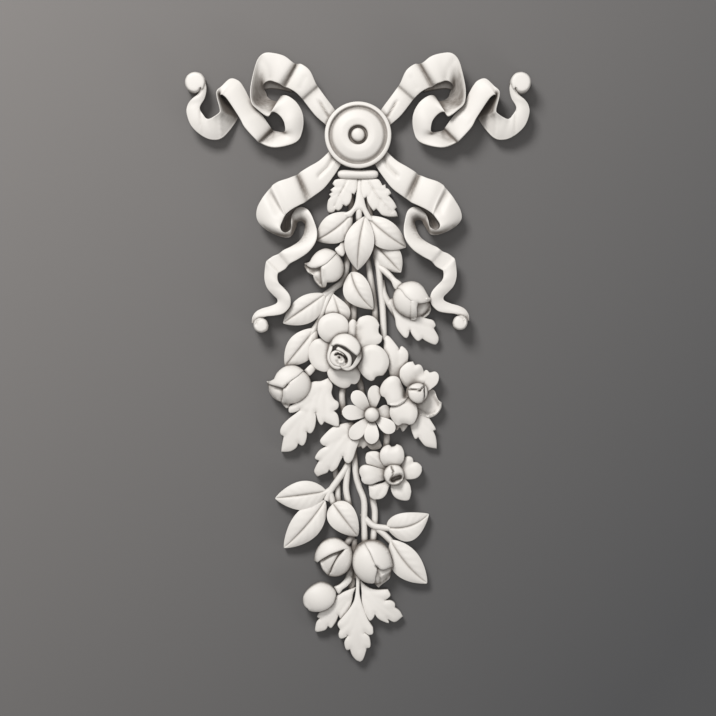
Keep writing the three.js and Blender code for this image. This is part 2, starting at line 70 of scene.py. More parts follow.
@dataclass(frozen=True)
class Layout:
    """The sheet that the free carving is laid out on: its units are millimetres, counted from
    the top left corner, with y running down."""

    centre_x: float = 358.0
    centre_y: float = 135.0

    def points(self, x: Array, y: Array, height: Array) -> Array:
        """Turn sheet places into points of the part.

        Args:
            x: Places to the right on the sheet.
            y: Places down the sheet.
            height: Heights above the wall.

        Returns:
            The points, one row of x, y and z each, in millimetres.
        """
        x, y, height = np.broadcast_arrays(x, y, height)
        return np.stack([x - self.centre_x, -height, self.centre_y - y], axis=-1)


LAYOUT = Layout()


@dataclass
class Shell:
    """One closed surface: its corners in millimetres and its triangles, facing outwards."""

    corners: Array
    triangles: Array

    @classmethod
    def from_rings(cls, rings: Array) -> "Shell":
        """Skin a stack of rings and cap both ends with a fan.

        Args:
            rings: An array of rings by corners by x, y and z.

        Returns:
            The closed shell, turned so that its volume is positive.
        """
        count, around, _ = rings.shape
        ring, corner = np.meshgrid(np.arange(count - 1), np.arange(around), indexing="ij")
        a = ring * around + corner
        b = ring * around + (corner + 1) % around
        c = a + around
        d = b + around
        sides = np.concatenate([
            np.stack([a, c, d], -1).reshape(-1, 3),
            np.stack([a, d, b], -1).reshape(-1, 3),
        ])
        middles = rings[[0, -1]].mean(axis=1)
        base = count * around
        here = np.arange(around)
        there = (here + 1) % around
        last = base - around
        first_cap = np.stack([np.full(around, base), here, there], -1)
        last_cap = np.stack([np.full(around, base + 1), last + there, last + here], -1)
        shell = cls(
            np.concatenate([rings.reshape(-1, 3), middles]),
            np.concatenate([sides, first_cap, last_cap]),
        )
        return shell.facing_out()

    @classmethod
    def from_profile(cls, radius: Array, height: Array, sides: int, centre: Place,
                     across: float = 1.0, along: float = 1.0) -> "Shell":
        """Turn a profile about an axis that stands on the wall.

        Point (i, k) is at radius r_i from the axis at angle 2 pi k / sides, stretched across
        and along.

        Args:
            radius: The profile's radii from the axis, the first and the last one zero.
            height: The profile's heights above the wall.
            sides: How many steps make the full turn.
            centre: The axis's place on the layout sheet.
            across: Stretch in x.
            along: Stretch in z.

        Returns:
            The closed shell.
        """
        angle = 2 * np.pi * np.arange(sides) / sides
        x = centre[0] + radius[1:-1, None] * np.cos(angle)[None, :] * across
        y = centre[1] + radius[1:-1, None] * np.sin(angle)[None, :] * along
        shell = cls.from_rings(LAYOUT.points(x, y, height[1:-1, None]))
        shell.corners[-2] = LAYOUT.points(np.array(centre[0]), np.array(centre[1]), np.array(height[0]))
        shell.corners[-1] = LAYOUT.points(np.array(centre[0]), np.array(centre[1]), np.array(height[-1]))
        return shell.facing_out()

    def facing_out(self) -> "Shell":
        """Turn the triangles round where the signed volume is negative, and return the shell."""
        a, b, c = (self.corners[self.triangles[:, k]] for k in range(3))
        if np.einsum("ij,ij->i", a, np.cross(b, c)).sum() < 0:
            self.triangles = self.triangles[:, ::-1].copy()
        return self

    def mirrored(self) -> "Shell":
        """The shell turned over from left to right, still facing outwards."""
        return Shell(self.corners * np.array([-1.0, 1.0, 1.0]), self.triangles.copy()).facing_out()

    def hung_wider(self, start: float = 200.0, stretch: float = 36.0, out: float = 5.0,
                   rise: float = 2.6) -> "Shell":
        """The shell of the left half with its tail where the right half has it, before it is
        turned over: below the start it moves out and up by the smooth step 3 s^2 - 2 s^3.

        Args:
            start: Where the difference starts, down the sheet.
            stretch: How far down the sheet it grows.
            out: How much wider the tail hangs in the end.
            rise: How much higher.

        Returns:
            The moved shell.
        """
        s = np.clip((LAYOUT.centre_y - self.corners[:, 2] - start) / stretch, 0, 1)
        share = (3 * s**2 - 2 * s**3)[:, None]
        return Shell(self.corners + share * np.array([-out, 0.0, rise]), self.triangles.copy())

    def mesh(self, name: str) -> bpy.types.Mesh:
        """The shell as a mesh in metres.

        Args:
            name: The mesh's name.

        Returns:
            The new mesh.
        """
        mesh = bpy.data.meshes.new(name)
        mesh.from_pydata(self.corners * MM, [], self.triangles)
        mesh.update()
        return mesh


def smooth_between(stations: Array, steps: int) -> Array:
    """Carry a smooth curve through rows of numbers.

    Between two rows the curve is the cubic whose slope at each row is half the difference
    between the rows before and after it.

    Args:
        stations: Rows of numbers, one row for each station.
        steps: How many steps run from one station to the next.

    Returns:
        The rows of the curve, with the stations themselves among them.
    """
    slope = np.empty_like(stations)
    slope[1:-1] = (stations[2:] - stations[:-2]) / 2
    slope[0] = stations[1] - stations[0]
    slope[-1] = stations[-1] - stations[-2]
    t = np.linspace(0, 1, steps, endpoint=False)[None, :, None]
    p0, p1 = stations[:-1, None], stations[1:, None]
    m0, m1 = slope[:-1, None], slope[1:, None]
    curve = ((2 * t**3 - 3 * t**2 + 1) * p0 + (t**3 - 2 * t**2 + t) * m0
             + (-2 * t**3 + 3 * t**2) * p1 + (t**3 - t**2) * m1)
    return np.concatenate([curve.reshape(-1, stations.shape[1]), stations[-1:]])


@dataclass(frozen=True)
class CastEdge:
    """How a carved front ends at its two long edges: a rounded rim, a short side as deep as the
    edge is thick, and an undercut that runs back to a foot on the wall.

    The inset is the share of the width by which each foot stands in from its edge. The shares
    named most limit a size where the form is narrow or low.
    """

    thickness: float
    rounding: float
    inset: float
    most_rim: float = 0.2
    most_thickness: float = 0.6
    most_foot: float = 0.9
    shoulder_out: float = 0.7
    shoulder_down: float = 0.3
    least_height: float = 0.2

    def rings(self, x: Array, y: Array, height: Array) -> Array:
        """Close a carved front into the rings of a casting that stands on the wall.

        Args:
            x: Sheet places to the right, stations by points across.
            y: Sheet places down.
            height: Heights above the wall.

        Returns:
            The rings, stations by corners by x, y and z.
        """
        parts = [LAYOUT.points(x, y, height)]
        for end, other in ((-1, 0), (0, -1)):
            edge_x, edge_y, top = x[:, end], y[:, end], height[:, end]
            out_x = edge_x - x[:, other]
            out_y = edge_y - y[:, other]
            width = np.maximum(np.hypot(out_x, out_y), TINY)
            out_x, out_y = out_x / width, out_y / width
            rim = np.minimum(self.rounding, width * self.most_rim)
            low = top - np.minimum(self.thickness, top * self.most_thickness)
            foot = np.minimum(width * self.inset, np.maximum(low, 0) * self.most_foot)
            shoulder_x = edge_x + out_x * rim * self.shoulder_out
            shoulder_y = edge_y + out_y * rim * self.shoulder_out
            rim_x, rim_y = edge_x + out_x * rim, edge_y + out_y * rim
            corners = [
                LAYOUT.points(shoulder_x, shoulder_y, top - rim * self.shoulder_down),
                LAYOUT.points(rim_x, rim_y, top - rim),
                LAYOUT.points(rim_x, rim_y, np.maximum(low, self.least_height)),
                LAYOUT.points(edge_x - out_x * foot, edge_y - out_y * foot, np.zeros_like(low)),
            ]
            if end == 0:
                corners.reverse()
            parts.extend(corner[:, None] for corner in corners)
        return np.concatenate(parts, axis=1)


def through_three(heights: Heights, s: Array) -> Array:
    """The parabola through three heights.

    Args:
        heights: The heights at the start, in the middle and at the end.
        s: How far along each place lies, from 0 to 1.

    Returns:
        One height for each place.
    """
    low, middle, high = heights
    return low * (1 - s) * (1 - 2 * s) + middle * 4 * s * (1 - s) + high * s * (2 * s - 1)


def distance_to_line(x: Array, y: Array, line: Array) -> Array:
    """The distance from each place to the nearest point of a line of straight stretches.

    Args:
        x: Sheet places to the right.
        y: Sheet places down.
        line: The line's corners, one row of x and y each.

    Returns:
        One distance for each place.
    """
    start, step = line[:-1], np.diff(line, axis=0)
    long = np.maximum((step**2).sum(axis=1), TINY**2)
    away_x = x[:, None] - start[None, :, 0]
    away_y = y[:, None] - start[None, :, 1]
    share = np.clip((away_x * step[:, 0] + away_y * step[:, 1]) / long, 0, 1)
    return np.hypot(away_x - share * step[:, 0], away_y - share * step[:, 1]).min(axis=1)


@dataclass(frozen=True)
class Crease:
    """A line pressed into a carved face, or raised on it where its depth is less than nothing."""

    line: list[Place]
    depth: float
    width: float

    def cut(self, x: Array, y: Array) -> Array:
        """How deep the crease is at each place: a bell over the distance from its line.

        Args:
            x: Sheet places to the right.
            y: Sheet places down.

        Returns:
            One depth for each place.
        """
        away = distance_to_line(x.ravel(), y.ravel(), np.array(self.line, float)).reshape(x.shape)
        return self.depth * np.exp(-((away / self.width) ** 2))


@dataclass
class Ribbon:
    """A flat band that turns and folds on the wall.

    Each station has seven numbers: the place and the height of the band's one edge, those of
    its other edge, and the crown between the two, which is left out where it is the plain one.
    """

    stations: list[tuple[float, ...]]
    pleats: list[Crease]
    steps: int = 5
    across: int = 17
    numbers: int = 7
    plain_crown: float = 1.6
    edge: CastEdge = CastEdge(3.6, 0.9, 0.25)

    def shell(self) -> Shell:
        """The band's closed shell.

        Across the band the place runs straight from edge to edge, and the height is the
        straight line between the edges plus a parabola as high as the crown, less a bell-shaped
        groove along each pleat.
        """
        rows = np.array([(*row, self.plain_crown)[:self.numbers] for row in self.stations])
        curve = smooth_between(rows, self.steps)
        u = np.linspace(0, 1, self.across)[None, :]
        ax, ay, ah, bx, by, bh, crown = curve.T[..., None]
        width = np.maximum(np.hypot(ax - bx, ay - by), TINY)
        inner = np.minimum(self.edge.rounding / width, self.edge.most_rim)
        u = inner + (1 - 2 * inner) * u
        height = ah + (bh - ah) * u + crown * 4 * u * (1 - u)
        x, y = ax + (bx - ax) * u, ay + (by - ay) * u
        for pleat in self.pleats:
            height = height - pleat.cut(x, y)
        return Shell.from_rings(self.edge.rings(x, y, height))


@dataclass
class Blade:
    """A leaf, lobe or petal along a midrib from base to tip."""

    base: Place
    tip: Place
    left: float
    right: float
    heights: Heights
    bow: float = 0.0
    widest: float = 0.45
    fullness: float = 0.8
    camber: float = 1.1
    groove: float = 1.4
    groove_width: float = 0.9
    edge_drop: float = 1.3
    veins: float = 0.0
    vein_count: float = 6.0
    vein_slant: float = 1.4
    least_span: float = 0.03
    least_height: float = 1.0
    end_crowding: float = 0.06
    edge: CastEdge = CastEdge(2.4, 0.4, 0.28)
    steps: int = 34
    across: int = 21

    def shell(self) -> Shell:
        """The blade's closed shell.

        The half width grows and shrinks along the midrib as a sine raised to the fullness,
        with its peak moved to where the blade is widest. The stations stand closer together
        towards both ends. The midrib's height is the parabola through the three heights.
        Across, the height gains a camber on either side of the midrib, loses a bell-shaped
        groove along it, and drops by a square law to the edge. Veins are slanting ripples that
        fade at the midrib and at the edge.
        """
        even = np.linspace(0, 1, self.steps)
        s = (even - self.end_crowding * np.sin(2 * np.pi * even))[:, None]
        v = np.linspace(-1, 1, self.across)[None, :]
        along = np.subtract(self.tip, self.base)
        dx, dy = along / float(np.hypot(*along))
        shift = np.log(0.5) / np.log(self.widest)
        span = np.maximum(np.sin(np.pi * s**shift), 0.0) ** self.fullness
        span = np.maximum(span, self.least_span)
        bend = self.bow * 4 * s * (1 - s)
        half = np.where(v > 0, self.left, self.right) * span
        x = self.base[0] + along[0] * s + dy * (bend + half * v)
        y = self.base[1] + along[1] * s - dx * (bend + half * v)
        reach = np.abs(v)
        height = through_three(self.heights, s) + self.camber * span * (1 - (2 * reach - 1) ** 2)
        height = height - self.groove * span**0.5 * np.exp(-((half * v / self.groove_width) ** 2))
        height = height - self.edge_drop * span * reach**2
        slanting = s * self.vein_count - reach * self.vein_slant
        ripple = np.cos(2 * np.pi * slanting) * 4 * reach * (1 - reach)
        height = height + self.veins * ripple * span
        return Shell.from_rings(self.edge.rings(x, y, np.maximum(height, self.least_height)))


def is_inside(x: Array, y: Array, outline: Array) -> Array:
    """Whether each place lies inside a closed outline: a ray to the right crosses it an odd
    number of times.

    Args:
        x: Sheet places to the right.
        y: Sheet places down.
        outline: The outline's corners, one row of x and y each.

    Returns:
        True or false for each place.
    """
    ax, ay = outline[:, 0], outline[:, 1]
    bx, by = np.roll(ax, -1), np.roll(ay, -1)
    spans = (ay[None, :] > y[:, None]) != (by[None, :] > y[:, None])
    rise = np.where(by == ay, TINY, by - ay)
    crossing = ax[None, :] + (y[:, None] - ay[None, :]) * ((bx - ax) / rise)[None, :]
    return (spans & (x[:, None] < crossing)).sum(axis=1) % 2 == 1


def turning(outline: Array) -> float:
    """The signed area within an outline: its sign tells which way round the outline runs.

    Args:
        outline: The outline's corners, one row of x and y each.

    Returns:
        The signed area.
    """
    ahead = np.roll(outline, -1, axis=0)
    return float((outline[:, 0] * ahead[:, 1] - ahead[:, 0] * outline[:, 1]).sum() / 2)


@dataclass
class Round:
    """The part of a carved face that follows an ellipsoid: its middle, its half sizes on the
    sheet, the height of its rim and its rise above that."""

    centre: Place
    across: float
    along: float
    rim: float
    rise: float

    def height(self, x: Array, y: Array) -> Array:
        """The ellipsoid's height: the rim plus the rise times the root of one less the squared
        distance from the middle, as a share of the half sizes.

        Args:
            x: Sheet places to the right.
            y: Sheet places down.

        Returns:
            One height for each place.
        """
        share = ((x - self.centre[0]) / self.across) ** 2 + ((y - self.centre[1]) / self.along) ** 2
        return self.rim + self.rise * np.sqrt(np.maximum(1 - share, 0))


@dataclass
class Spine:
    """The part of a carved face that follows a midrib: the midrib's two ends and its height at
    the base, in the middle and at the tip."""

    base: Place
    tip: Place
    heights: Heights

    def height(self, x: Array, y: Array) -> Array:
        """The parabola through the three heights, by how far along the midrib a place lies.

        Args:
            x: Sheet places to the right.
            y: Sheet places down.

        Returns:
            One height for each place.
        """
        along = np.subtract(self.tip, self.base)
        share = ((x - self.base[0]) * along[0] + (y - self.base[1]) * along[1]) / (along @ along)
        return through_three(self.heights, np.clip(share, 0, 1))


@dataclass
class Relief:
    """A carved face within a free outline, standing on the wall with straight sides.

    The outline is a list of runs: each run starts at a sharp corner and goes smoothly on to the
    next run's first place. The margins are how near the border a place of the face may lie: for
    the two rows along the border as a share of the row's own distance, and for the rows across
    the face as a share of the spacing, counted from the second row.
    """

    outline: Outline
    form: Round | Spine
    pillow: float = 1.4
    reach: float = 5.0
    lift: float = 0.0
    creases: list[Crease] = field(default_factory=list)
    rounding: float = 0.45
    flat: float = 0.6
    spacing: float = 1.5
    row_share: float = 0.866
    first_margin: float = 0.9
    second_margin: float = 0.93
    face_margin: float = 0.5
    run_steps: int = 8
    fewest_places: int = 2
    least_height: float = 1.0
    merging: float = 1e-5

    def border(self) -> Array:
        """The outline as evenly spaced places, with its sharp corners kept."""
        places = []
        for here, there in zip(self.outline, self.outline[1:] + self.outline[:1]):
            curve = smooth_between(np.array([*here, there[0]], float), self.run_steps)
            far = np.concatenate([[0.0], np.cumsum(np.hypot(*np.diff(curve, axis=0).T))])
            count = max(int(round(far[-1] / self.spacing)), self.fewest_places)
            at = np.linspace(0, far[-1], count, endpoint=False)
            places.append(np.stack([np.interp(at, far, curve[:, k]) for k in range(2)], axis=1))
        return np.concatenate(places)

    def inner_places(self, border: Array) -> Array:
        """The places within the border that carry the face: two rows just inside the border, and
        staggered rows across the face.

        Args:
            border: The border's places, one row of x and y each.

        Returns:
            The inner places, one row of x and y each.
        """
        ahead = np.roll(border, -1, axis=0) - np.roll(border, 1, axis=0)
        ahead /= np.maximum(np.hypot(ahead[:, 0], ahead[:, 1]), TINY)[:, None]
        normal = np.stack([-ahead[:, 1], ahead[:, 0]], axis=1)
        low, high = border.min(axis=0), border.max(axis=0)
        rows = np.arange(low[1], high[1], self.spacing * self.row_share)
        columns = np.arange(low[0], high[0], self.spacing)
        grid_y, grid_x = np.meshgrid(rows, columns, indexing="ij")
        grid_x = grid_x + (np.arange(len(rows)) % 2)[:, None] * self.spacing / 2
        closed = np.vstack([border, border[:1]])
        first, second = self.rounding, self.rounding + self.flat
        kept = []
        for places, margin in (
            (border + normal * first, first * self.first_margin),
            (border - normal * first, first * self.first_margin),
            (border + normal * second, second * self.second_margin),
            (border - normal * second, second * self.second_margin),
            (np.stack([grid_x.ravel(), grid_y.ravel()], axis=1), second + self.spacing * self.face_margin),
        ):
            far = distance_to_line(places[:, 0], places[:, 1], closed)
            kept.append(places[is_inside(places[:, 0], places[:, 1], border) & (far >= margin)])
        return np.concatenate(kept)

    def height(self, x: Array, y: Array, edge: Array) -> Array:
        """The face's height at each place.

        The form's height, plus a pillow that rises from the edge by a square law over its
        reach, less the cut of each crease, less the quarter round of the rim.

        Args:
            x: Sheet places to the right.
            y: Sheet places down.
            edge: Their distances to the edge.

        Returns:
            One height for each place.
        """
        height = self.form.height(x, y) + self.lift
        height = height + self.pillow * (1 - (1 - np.minimum(edge / self.reach, 1)) ** 2)
        for crease in self.creases:
            height = height - crease.cut(x, y)
        in_rim = 1 - np.minimum(edge / self.rounding, 1)
        return np.maximum(height - self.rounding * (1 - np.sqrt(1 - in_rim**2)), self.least_height)

    def shell(self) -> Shell:
        """The face's closed shell: the front, straight sides and the flat back."""
        border = self.border()
        count = len(border)
        around = np.arange(count)
        ring = [(int(i), int((i + 1) % count)) for i in around]
        places = np.concatenate([border, self.inner_places(border)])
        found, _, front, *_ = delaunay_2d_cdt([Vector(p) for p in places], ring, [], 1, self.merging)
        _, _, back, *_ = delaunay_2d_cdt([Vector(p) for p in border], ring, [], 1, self.merging)
        found = np.array([tuple(p) for p in found])
        edge = distance_to_line(found[:, 0], found[:, 1], np.vstack([border, border[:1]]))
        edge[:count] = 0.0
        height = self.height(found[:, 0], found[:, 1], edge)
        top = LAYOUT.points(found[:, 0], found[:, 1], height)
        foot = LAYOUT.points(border[:, 0], border[:, 1], np.zeros(count))
        after = (around + 1) % count
        front, back = np.array(front), np.array(back)
        base = len(found)
        onward = turning(found[front[0]]) * turning(border)
        here, there = (around, after) if onward > 0 else (after, around)
        sides = np.concatenate([
            np.stack([there, here, base + here], axis=1),
            np.stack([there, base + here, base + there], axis=1),
        ])
        triangles = np.concatenate([front, sides, base + back[:, ::-1]])
        return Shell(np.concatenate([top, foot]), triangles).facing_out()


VALLEY_DEPTH = 0.4
VALLEY_WIDTH = 2.4
LOBE_SIZES = {"pillow": 1.1, "reach": 4.5}


def leaf_face(base: Place, tip: Place, heights: Heights, outline: Outline, *valleys: list[Place],
              more_creases: list[Crease] | None = None, **more: float) -> Relief:
    """A lobed leaf: soft pillows between valleys that run in from the notches.

    Args:
        base: Where the leaf springs from.
        tip: The far end of its longest lobe.
        heights: Heights at the base, in the middle and at the tip.
        outline: The runs of the outline.
        valleys: The valleys' lines.
        more_creases: Further creases, such as a midrib.
        more: Further sizes of the relief.

    Returns:
        The leaf's relief.
    """
    creases = [Crease(line, VALLEY_DEPTH, VALLEY_WIDTH) for line in valleys] + (more_creases or [])
    return Relief(outline, Spine(base, tip, heights), creases=creases, **(LOBE_SIZES | more))


@dataclass(frozen=True)
class Dome:
    """A round boss with a straight foot: an ellipse from the front, arched to its crown."""

    centre: Place
    along: float
    height: float
    shoulder: float
    across: float | None = None
    sides: int = 40
    rows: int = 14
    foot: float = 0.8
    under_radii: tuple[float, float] = (0.97, 0.9)
    under_heights: tuple[float, float] = (0.8, 0.6)

    def shell(self) -> Shell:
        """The dome's shell: a quarter ellipse from crown to shoulder, then a short round under
        it, and a foot drawn in on the wall."""
        angle = np.linspace(0, np.pi / 2, self.rows)
        rise = self.height - self.shoulder
        radius = np.concatenate([np.sin(angle), [*self.under_radii, self.foot, 0.0]])
        under = self.shoulder * np.array([*self.under_heights, 0.0, 0.0])
        height = np.concatenate([self.shoulder + rise * np.cos(angle), under])
        return Shell.from_profile(radius, height, self.sides, self.centre,
                                  across=self.across or self.along, along=self.along)


@dataclass
class Stem:
    """A round stalk along a smooth curve through places with their heights.

    The arc is how far its round front reaches down on each side, in half turns from the top.
    """

    places: list[tuple[float, float, float]]
    width: float = 6.4
    arc: float = 0.62
    foot: float = 0.6
    least_height: float = 0.5
    steps: int = 10
    around: int = 13

    def shell(self) -> Shell:
        """The stalk's shell: at each step an arc of a circle across, closed by a foot on the
        wall that is narrower than the stalk."""
        curve = smooth_between(np.array(self.places, float), self.steps)
        heading = np.gradient(curve[:, :2], axis=0)
        heading /= np.maximum(np.hypot(heading[:, 0], heading[:, 1]), TINY)[:, None]
        angle = np.linspace(-self.arc * np.pi, self.arc * np.pi, self.around)[None, :]
        half = self.width / 2
        out = np.concatenate([half * np.sin(angle), [[half * self.foot, -half * self.foot]]], axis=1)
        x = curve[:, 0, None] - heading[:, 1, None] * out
        y = curve[:, 1, None] + heading[:, 0, None] * out
        top = curve[:, 2, None] - half + half * np.cos(angle)
        height = np.concatenate([np.maximum(top, self.least_height), np.zeros((len(curve), 2))], axis=1)
        return Shell.from_rings(LAYOUT.points(x, y, height))


@dataclass
class Rosette:
    """The turned boss at the bow's knot."""

    radius: float = 33.3
    rim_height: float = 22.0
    crest_height: float = 25.0
    groove_height: float = 18.0
    button_radius: float = 6.8
    button_height: float = 27.0
    beside_axis: float = 0.001
    steps: int = 4
    sides: int = 96

    def shell(self) -> Shell:
        """The boss's shell: a smooth curve through the turned profile's stations, each a radius
        and a height. They run from the button over the dish and its cove to the rim and the
        foot."""
        r, rim, crest, low = self.radius, self.rim_height, self.crest_height, self.groove_height
        button, top = self.button_radius, self.button_height
        stations = np.array([
            [self.beside_axis, top], [button * 0.45, top - 0.4], [button * 0.8, top - 1.6],
            [button, top - 4.5], [button + 0.4, low + 1.2], [button + 2.4, low + 1.0],
            [button + 2.9, crest - 2.2],
            [button + 3.6, crest - 0.9], [r * 0.35, crest - 0.4], [r * 0.42, crest - 0.1], [r * 0.5, crest],
            [r * 0.58, crest - 0.6], [r * 0.66, crest - 1.6], [r * 0.73, crest - 2.8], [r * 0.785, low + 1.9],
            [r * 0.83, low + 1.0], [r * 0.87, low + 1.3], [r * 0.888, rim - 0.6], [r * 0.905, rim],
            [r * 0.94, rim - 0.1], [r * 0.975, rim - 0.4], [r, rim - 1.6], [r, rim - 7],
            [r - 5, 0.0], [r - 6, 0.0],
        ])
        curve = smooth_between(stations[:-2], self.steps)
        profile = np.concatenate([[[0.0, top]], curve, stations[-2:], [[0.0, 0.0]]])
        return Shell.from_profile(profile[:, 0], np.maximum(profile[:, 1], 0), self.sides,
                                  (LAYOUT.centre_x, LAYOUT.centre_y))


@dataclass
class Collar:
    """The rounded bar that ties the drop to the rosette.

    The foot is the share of the width by which its corners stand out from the middle line, and
    the fall is how far they would drop below the arch if the wall didn't stop them.
    """

    length: float = 41.0
    width: float = 9.3
    height: float = 18.0
    drop: float = 39.0
    arch: float = 5.0
    foot: float = 0.35
    fall: float = 99.0
    end_power: float = 8.0
    least_swell: float = 0.04
    stations: int = 25
    around: int = 13

    def shell(self) -> Shell:
        """The bar's shell: rounds across a straight run that swells from its ends by the root of
        one less a power of the distance from the middle."""
        share = np.sin(np.linspace(-np.pi / 2, np.pi / 2, self.stations))[:, None]
        grown = np.maximum(1 - np.abs(share) ** self.end_power, 0.0) ** 0.5
        swell = grown * (1 - self.least_swell) + self.least_swell
        angle = np.linspace(0, np.pi, self.around)[None, :]
        foot = self.width * self.foot
        across = np.concatenate([np.cos(angle) * self.width / 2, [[-foot, foot]]], axis=1)
        rise = np.concatenate([np.sin(angle) * self.arch, [[-self.fall, -self.fall]]], axis=1)
        height = np.maximum(self.height - self.arch + rise * swell, 0.0)
        x = LAYOUT.centre_x + share * self.length / 2
        y = LAYOUT.centre_y + self.drop - across * swell
        return Shell.from_rings(LAYOUT.points(x, y, height))


# the free carving, in places on the layout sheet
UPPER_RIBBON = [
    (341, 119, 12, 333, 134, 12), (334, 108, 14, 325.5, 124.5, 14), (325, 96, 15.5, 315, 115, 15.5),
    (318.5, 87, 15, 304, 101, 15), (315.8, 83.2, 19.5, 300.8, 97.3, 19), (310, 71, 22, 295, 92, 21),
    (302, 64.5, 21, 288, 88, 20), (296.8, 63.8, 18, 284.2, 86.7, 17), (293, 63, 25, 279.7, 84.2, 24),
    (285, 57, 26, 275, 82.5, 25), (275, 54, 26, 270.5, 81, 23), (265, 53.7, 26, 266.5, 81.8, 21, 2),
    (258, 60, 27, 263.2, 84, 15, 1), (253.5, 74, 28, 263.4, 87.6, 8, 0),
    (250.5, 90, 28, 265.5, 91, 4, -2), (251.5, 103, 28, 267, 95, 2, -3),
    (257, 109.5, 28, 271, 98.5, 2, -1), (267.5, 117, 27, 277.5, 100, 8), (272, 112.5, 25, 281, 95.5, 14),
    (277, 113.5, 22, 288, 96, 19), (282, 118.5, 22, 297, 103, 20), (284.5, 124, 22, 303, 115, 18, 3),
    (285, 131, 20, 302.5, 130, 16, 3), (281, 131.5, 12, 296, 142, 18, 3),
    (274.5, 130, 7, 275, 147.7, 22, 2), (272, 128.5, 6, 260.5, 143, 17, 0),
    (270, 126, 14, 256, 140, 24, 1), (262, 115, 18, 245, 128, 25), (254, 106, 18, 239.5, 118, 25),
    (243, 86, 21, 228, 100.5, 26), (237, 80, 21, 223.5, 96, 26), (230, 79, 21, 221.5, 95.3, 26),
    (222, 86.5, 24, 220.5, 96, 22), (217, 91.5, 27, 221.5, 97.5, 12), (217, 98, 28, 227, 100, 3, -1),
    (220, 110, 27, 236, 113, 2, -2), (218.5, 114, 26, 235.5, 120, 4, 0),
    (210.5, 118.6, 22, 223, 136.5, 12), (206.5, 118.5, 20, 212, 139.3, 14),
    (203.5, 115, 20, 201, 135, 16), (200.5, 110.5, 20, 191, 125.5, 18), (200, 107, 20, 186.5, 113, 18),
    (202, 103, 20, 187.5, 105, 18), (204.5, 99, 20, 191.5, 99.5, 20), (206.3, 93, 21, 197.5, 94.5, 20),
    (206.6, 87, 22, 199.5, 90, 21), (205, 80, 22, 198, 85, 21),
]

LOWER_RIBBON = [
    (338, 140, 12, 348, 152, 12), (328, 152, 14, 340, 166, 14), (319, 160.5, 16, 333, 176.5, 16),
    (309, 166.5, 18, 324, 188, 18), (301, 171.5, 17.5, 313.5, 196, 17.5),
    (297.5, 174.3, 14.5, 309, 199, 15, 0), (294, 176, 20, 304.5, 202.7, 20.5),
    (288, 178.5, 22, 300, 205, 23), (279, 181.5, 23, 292, 209.5, 24.5), (273, 185, 22, 287, 213.5, 24),
    (271.2, 187.5, 22, 285.5, 215.5, 25.5, 1), (268.5, 190, 20, 284.5, 217, 25, 0),
    (262, 198.5, 20, 282.5, 221.5, 26), (256.8, 209, 18, 280.8, 226, 27),
    (257, 219.5, 16, 281, 229.5, 28), (264, 228, 16, 283, 232, 28), (275, 234.5, 18, 286, 233, 28),
    (285, 237.6, 18, 289, 231.5, 27), (291.5, 236, 18, 291, 228.5, 24), (295.8, 227, 10, 291, 221, 18, 1),
    (297, 222, 6, 292, 214, 12, 3), (301, 220.5, 5, 299, 206.5, 11, 5),
    (304.5, 223.5, 6, 308.5, 210, 14, 4), (304.5, 229, 9, 315, 223.5, 19), (303, 235, 13, 317.3, 234, 21),
    (299, 241, 16, 315, 243.5, 23), (291, 246.5, 19, 308, 252.5, 23), (284.5, 249.5, 19, 298.5, 259, 22),
    (281, 252, 20, 291, 263, 21.5, 0), (278, 254, 17.6, 288, 265.5, 19, 0),
    (273, 256, 17, 285, 269, 17.8, 0), (268, 259.5, 17.2, 280, 272, 17.9, 0),
    (266, 262, 19, 278, 273.5, 19.5, 0), (264.8, 268, 17, 277.5, 278, 19), (264.3, 279, 17, 279, 283, 20),
    (267, 288, 17, 284, 288, 19), (272.5, 294.5, 16, 289, 294, 20), (277, 299, 16, 290.8, 300, 20),
    (276.5, 303, 16, 289.5, 307, 18), (270, 306, 15, 283, 313.5, 18), (262, 308.3, 15, 274, 315.6, 18),
    (256, 311.5, 15, 266, 316.5, 18), (252.2, 317, 15, 259.5, 319.5, 17), (251.5, 323, 15, 258, 323, 16),
]

UPPER_PLEATS = [
    Crease([(320, 102), (324, 109), (328.5, 116)], 2.4, 1.5),
    Crease([(262, 60), (268, 70), (270, 78)], 0.8, 3.0), Crease([(305, 78), (300, 88)], 0.7, 2.5),
    Crease([(200.6, 111), (200.8, 124), (201.5, 138)], 0.9, 1.2),
    Crease([(219.5, 117), (221, 137)], -0.9, 1.5), Crease([(228, 101), (246, 124)], 0.4, 2.0),
]

LOWER_PLEATS = [
    Crease([(333.5, 156), (328, 166.5), (319, 175.5)], 2.0, 2.2),
    Crease([(269, 195), (274, 206), (277, 213)], 1.5, 4.0),
]

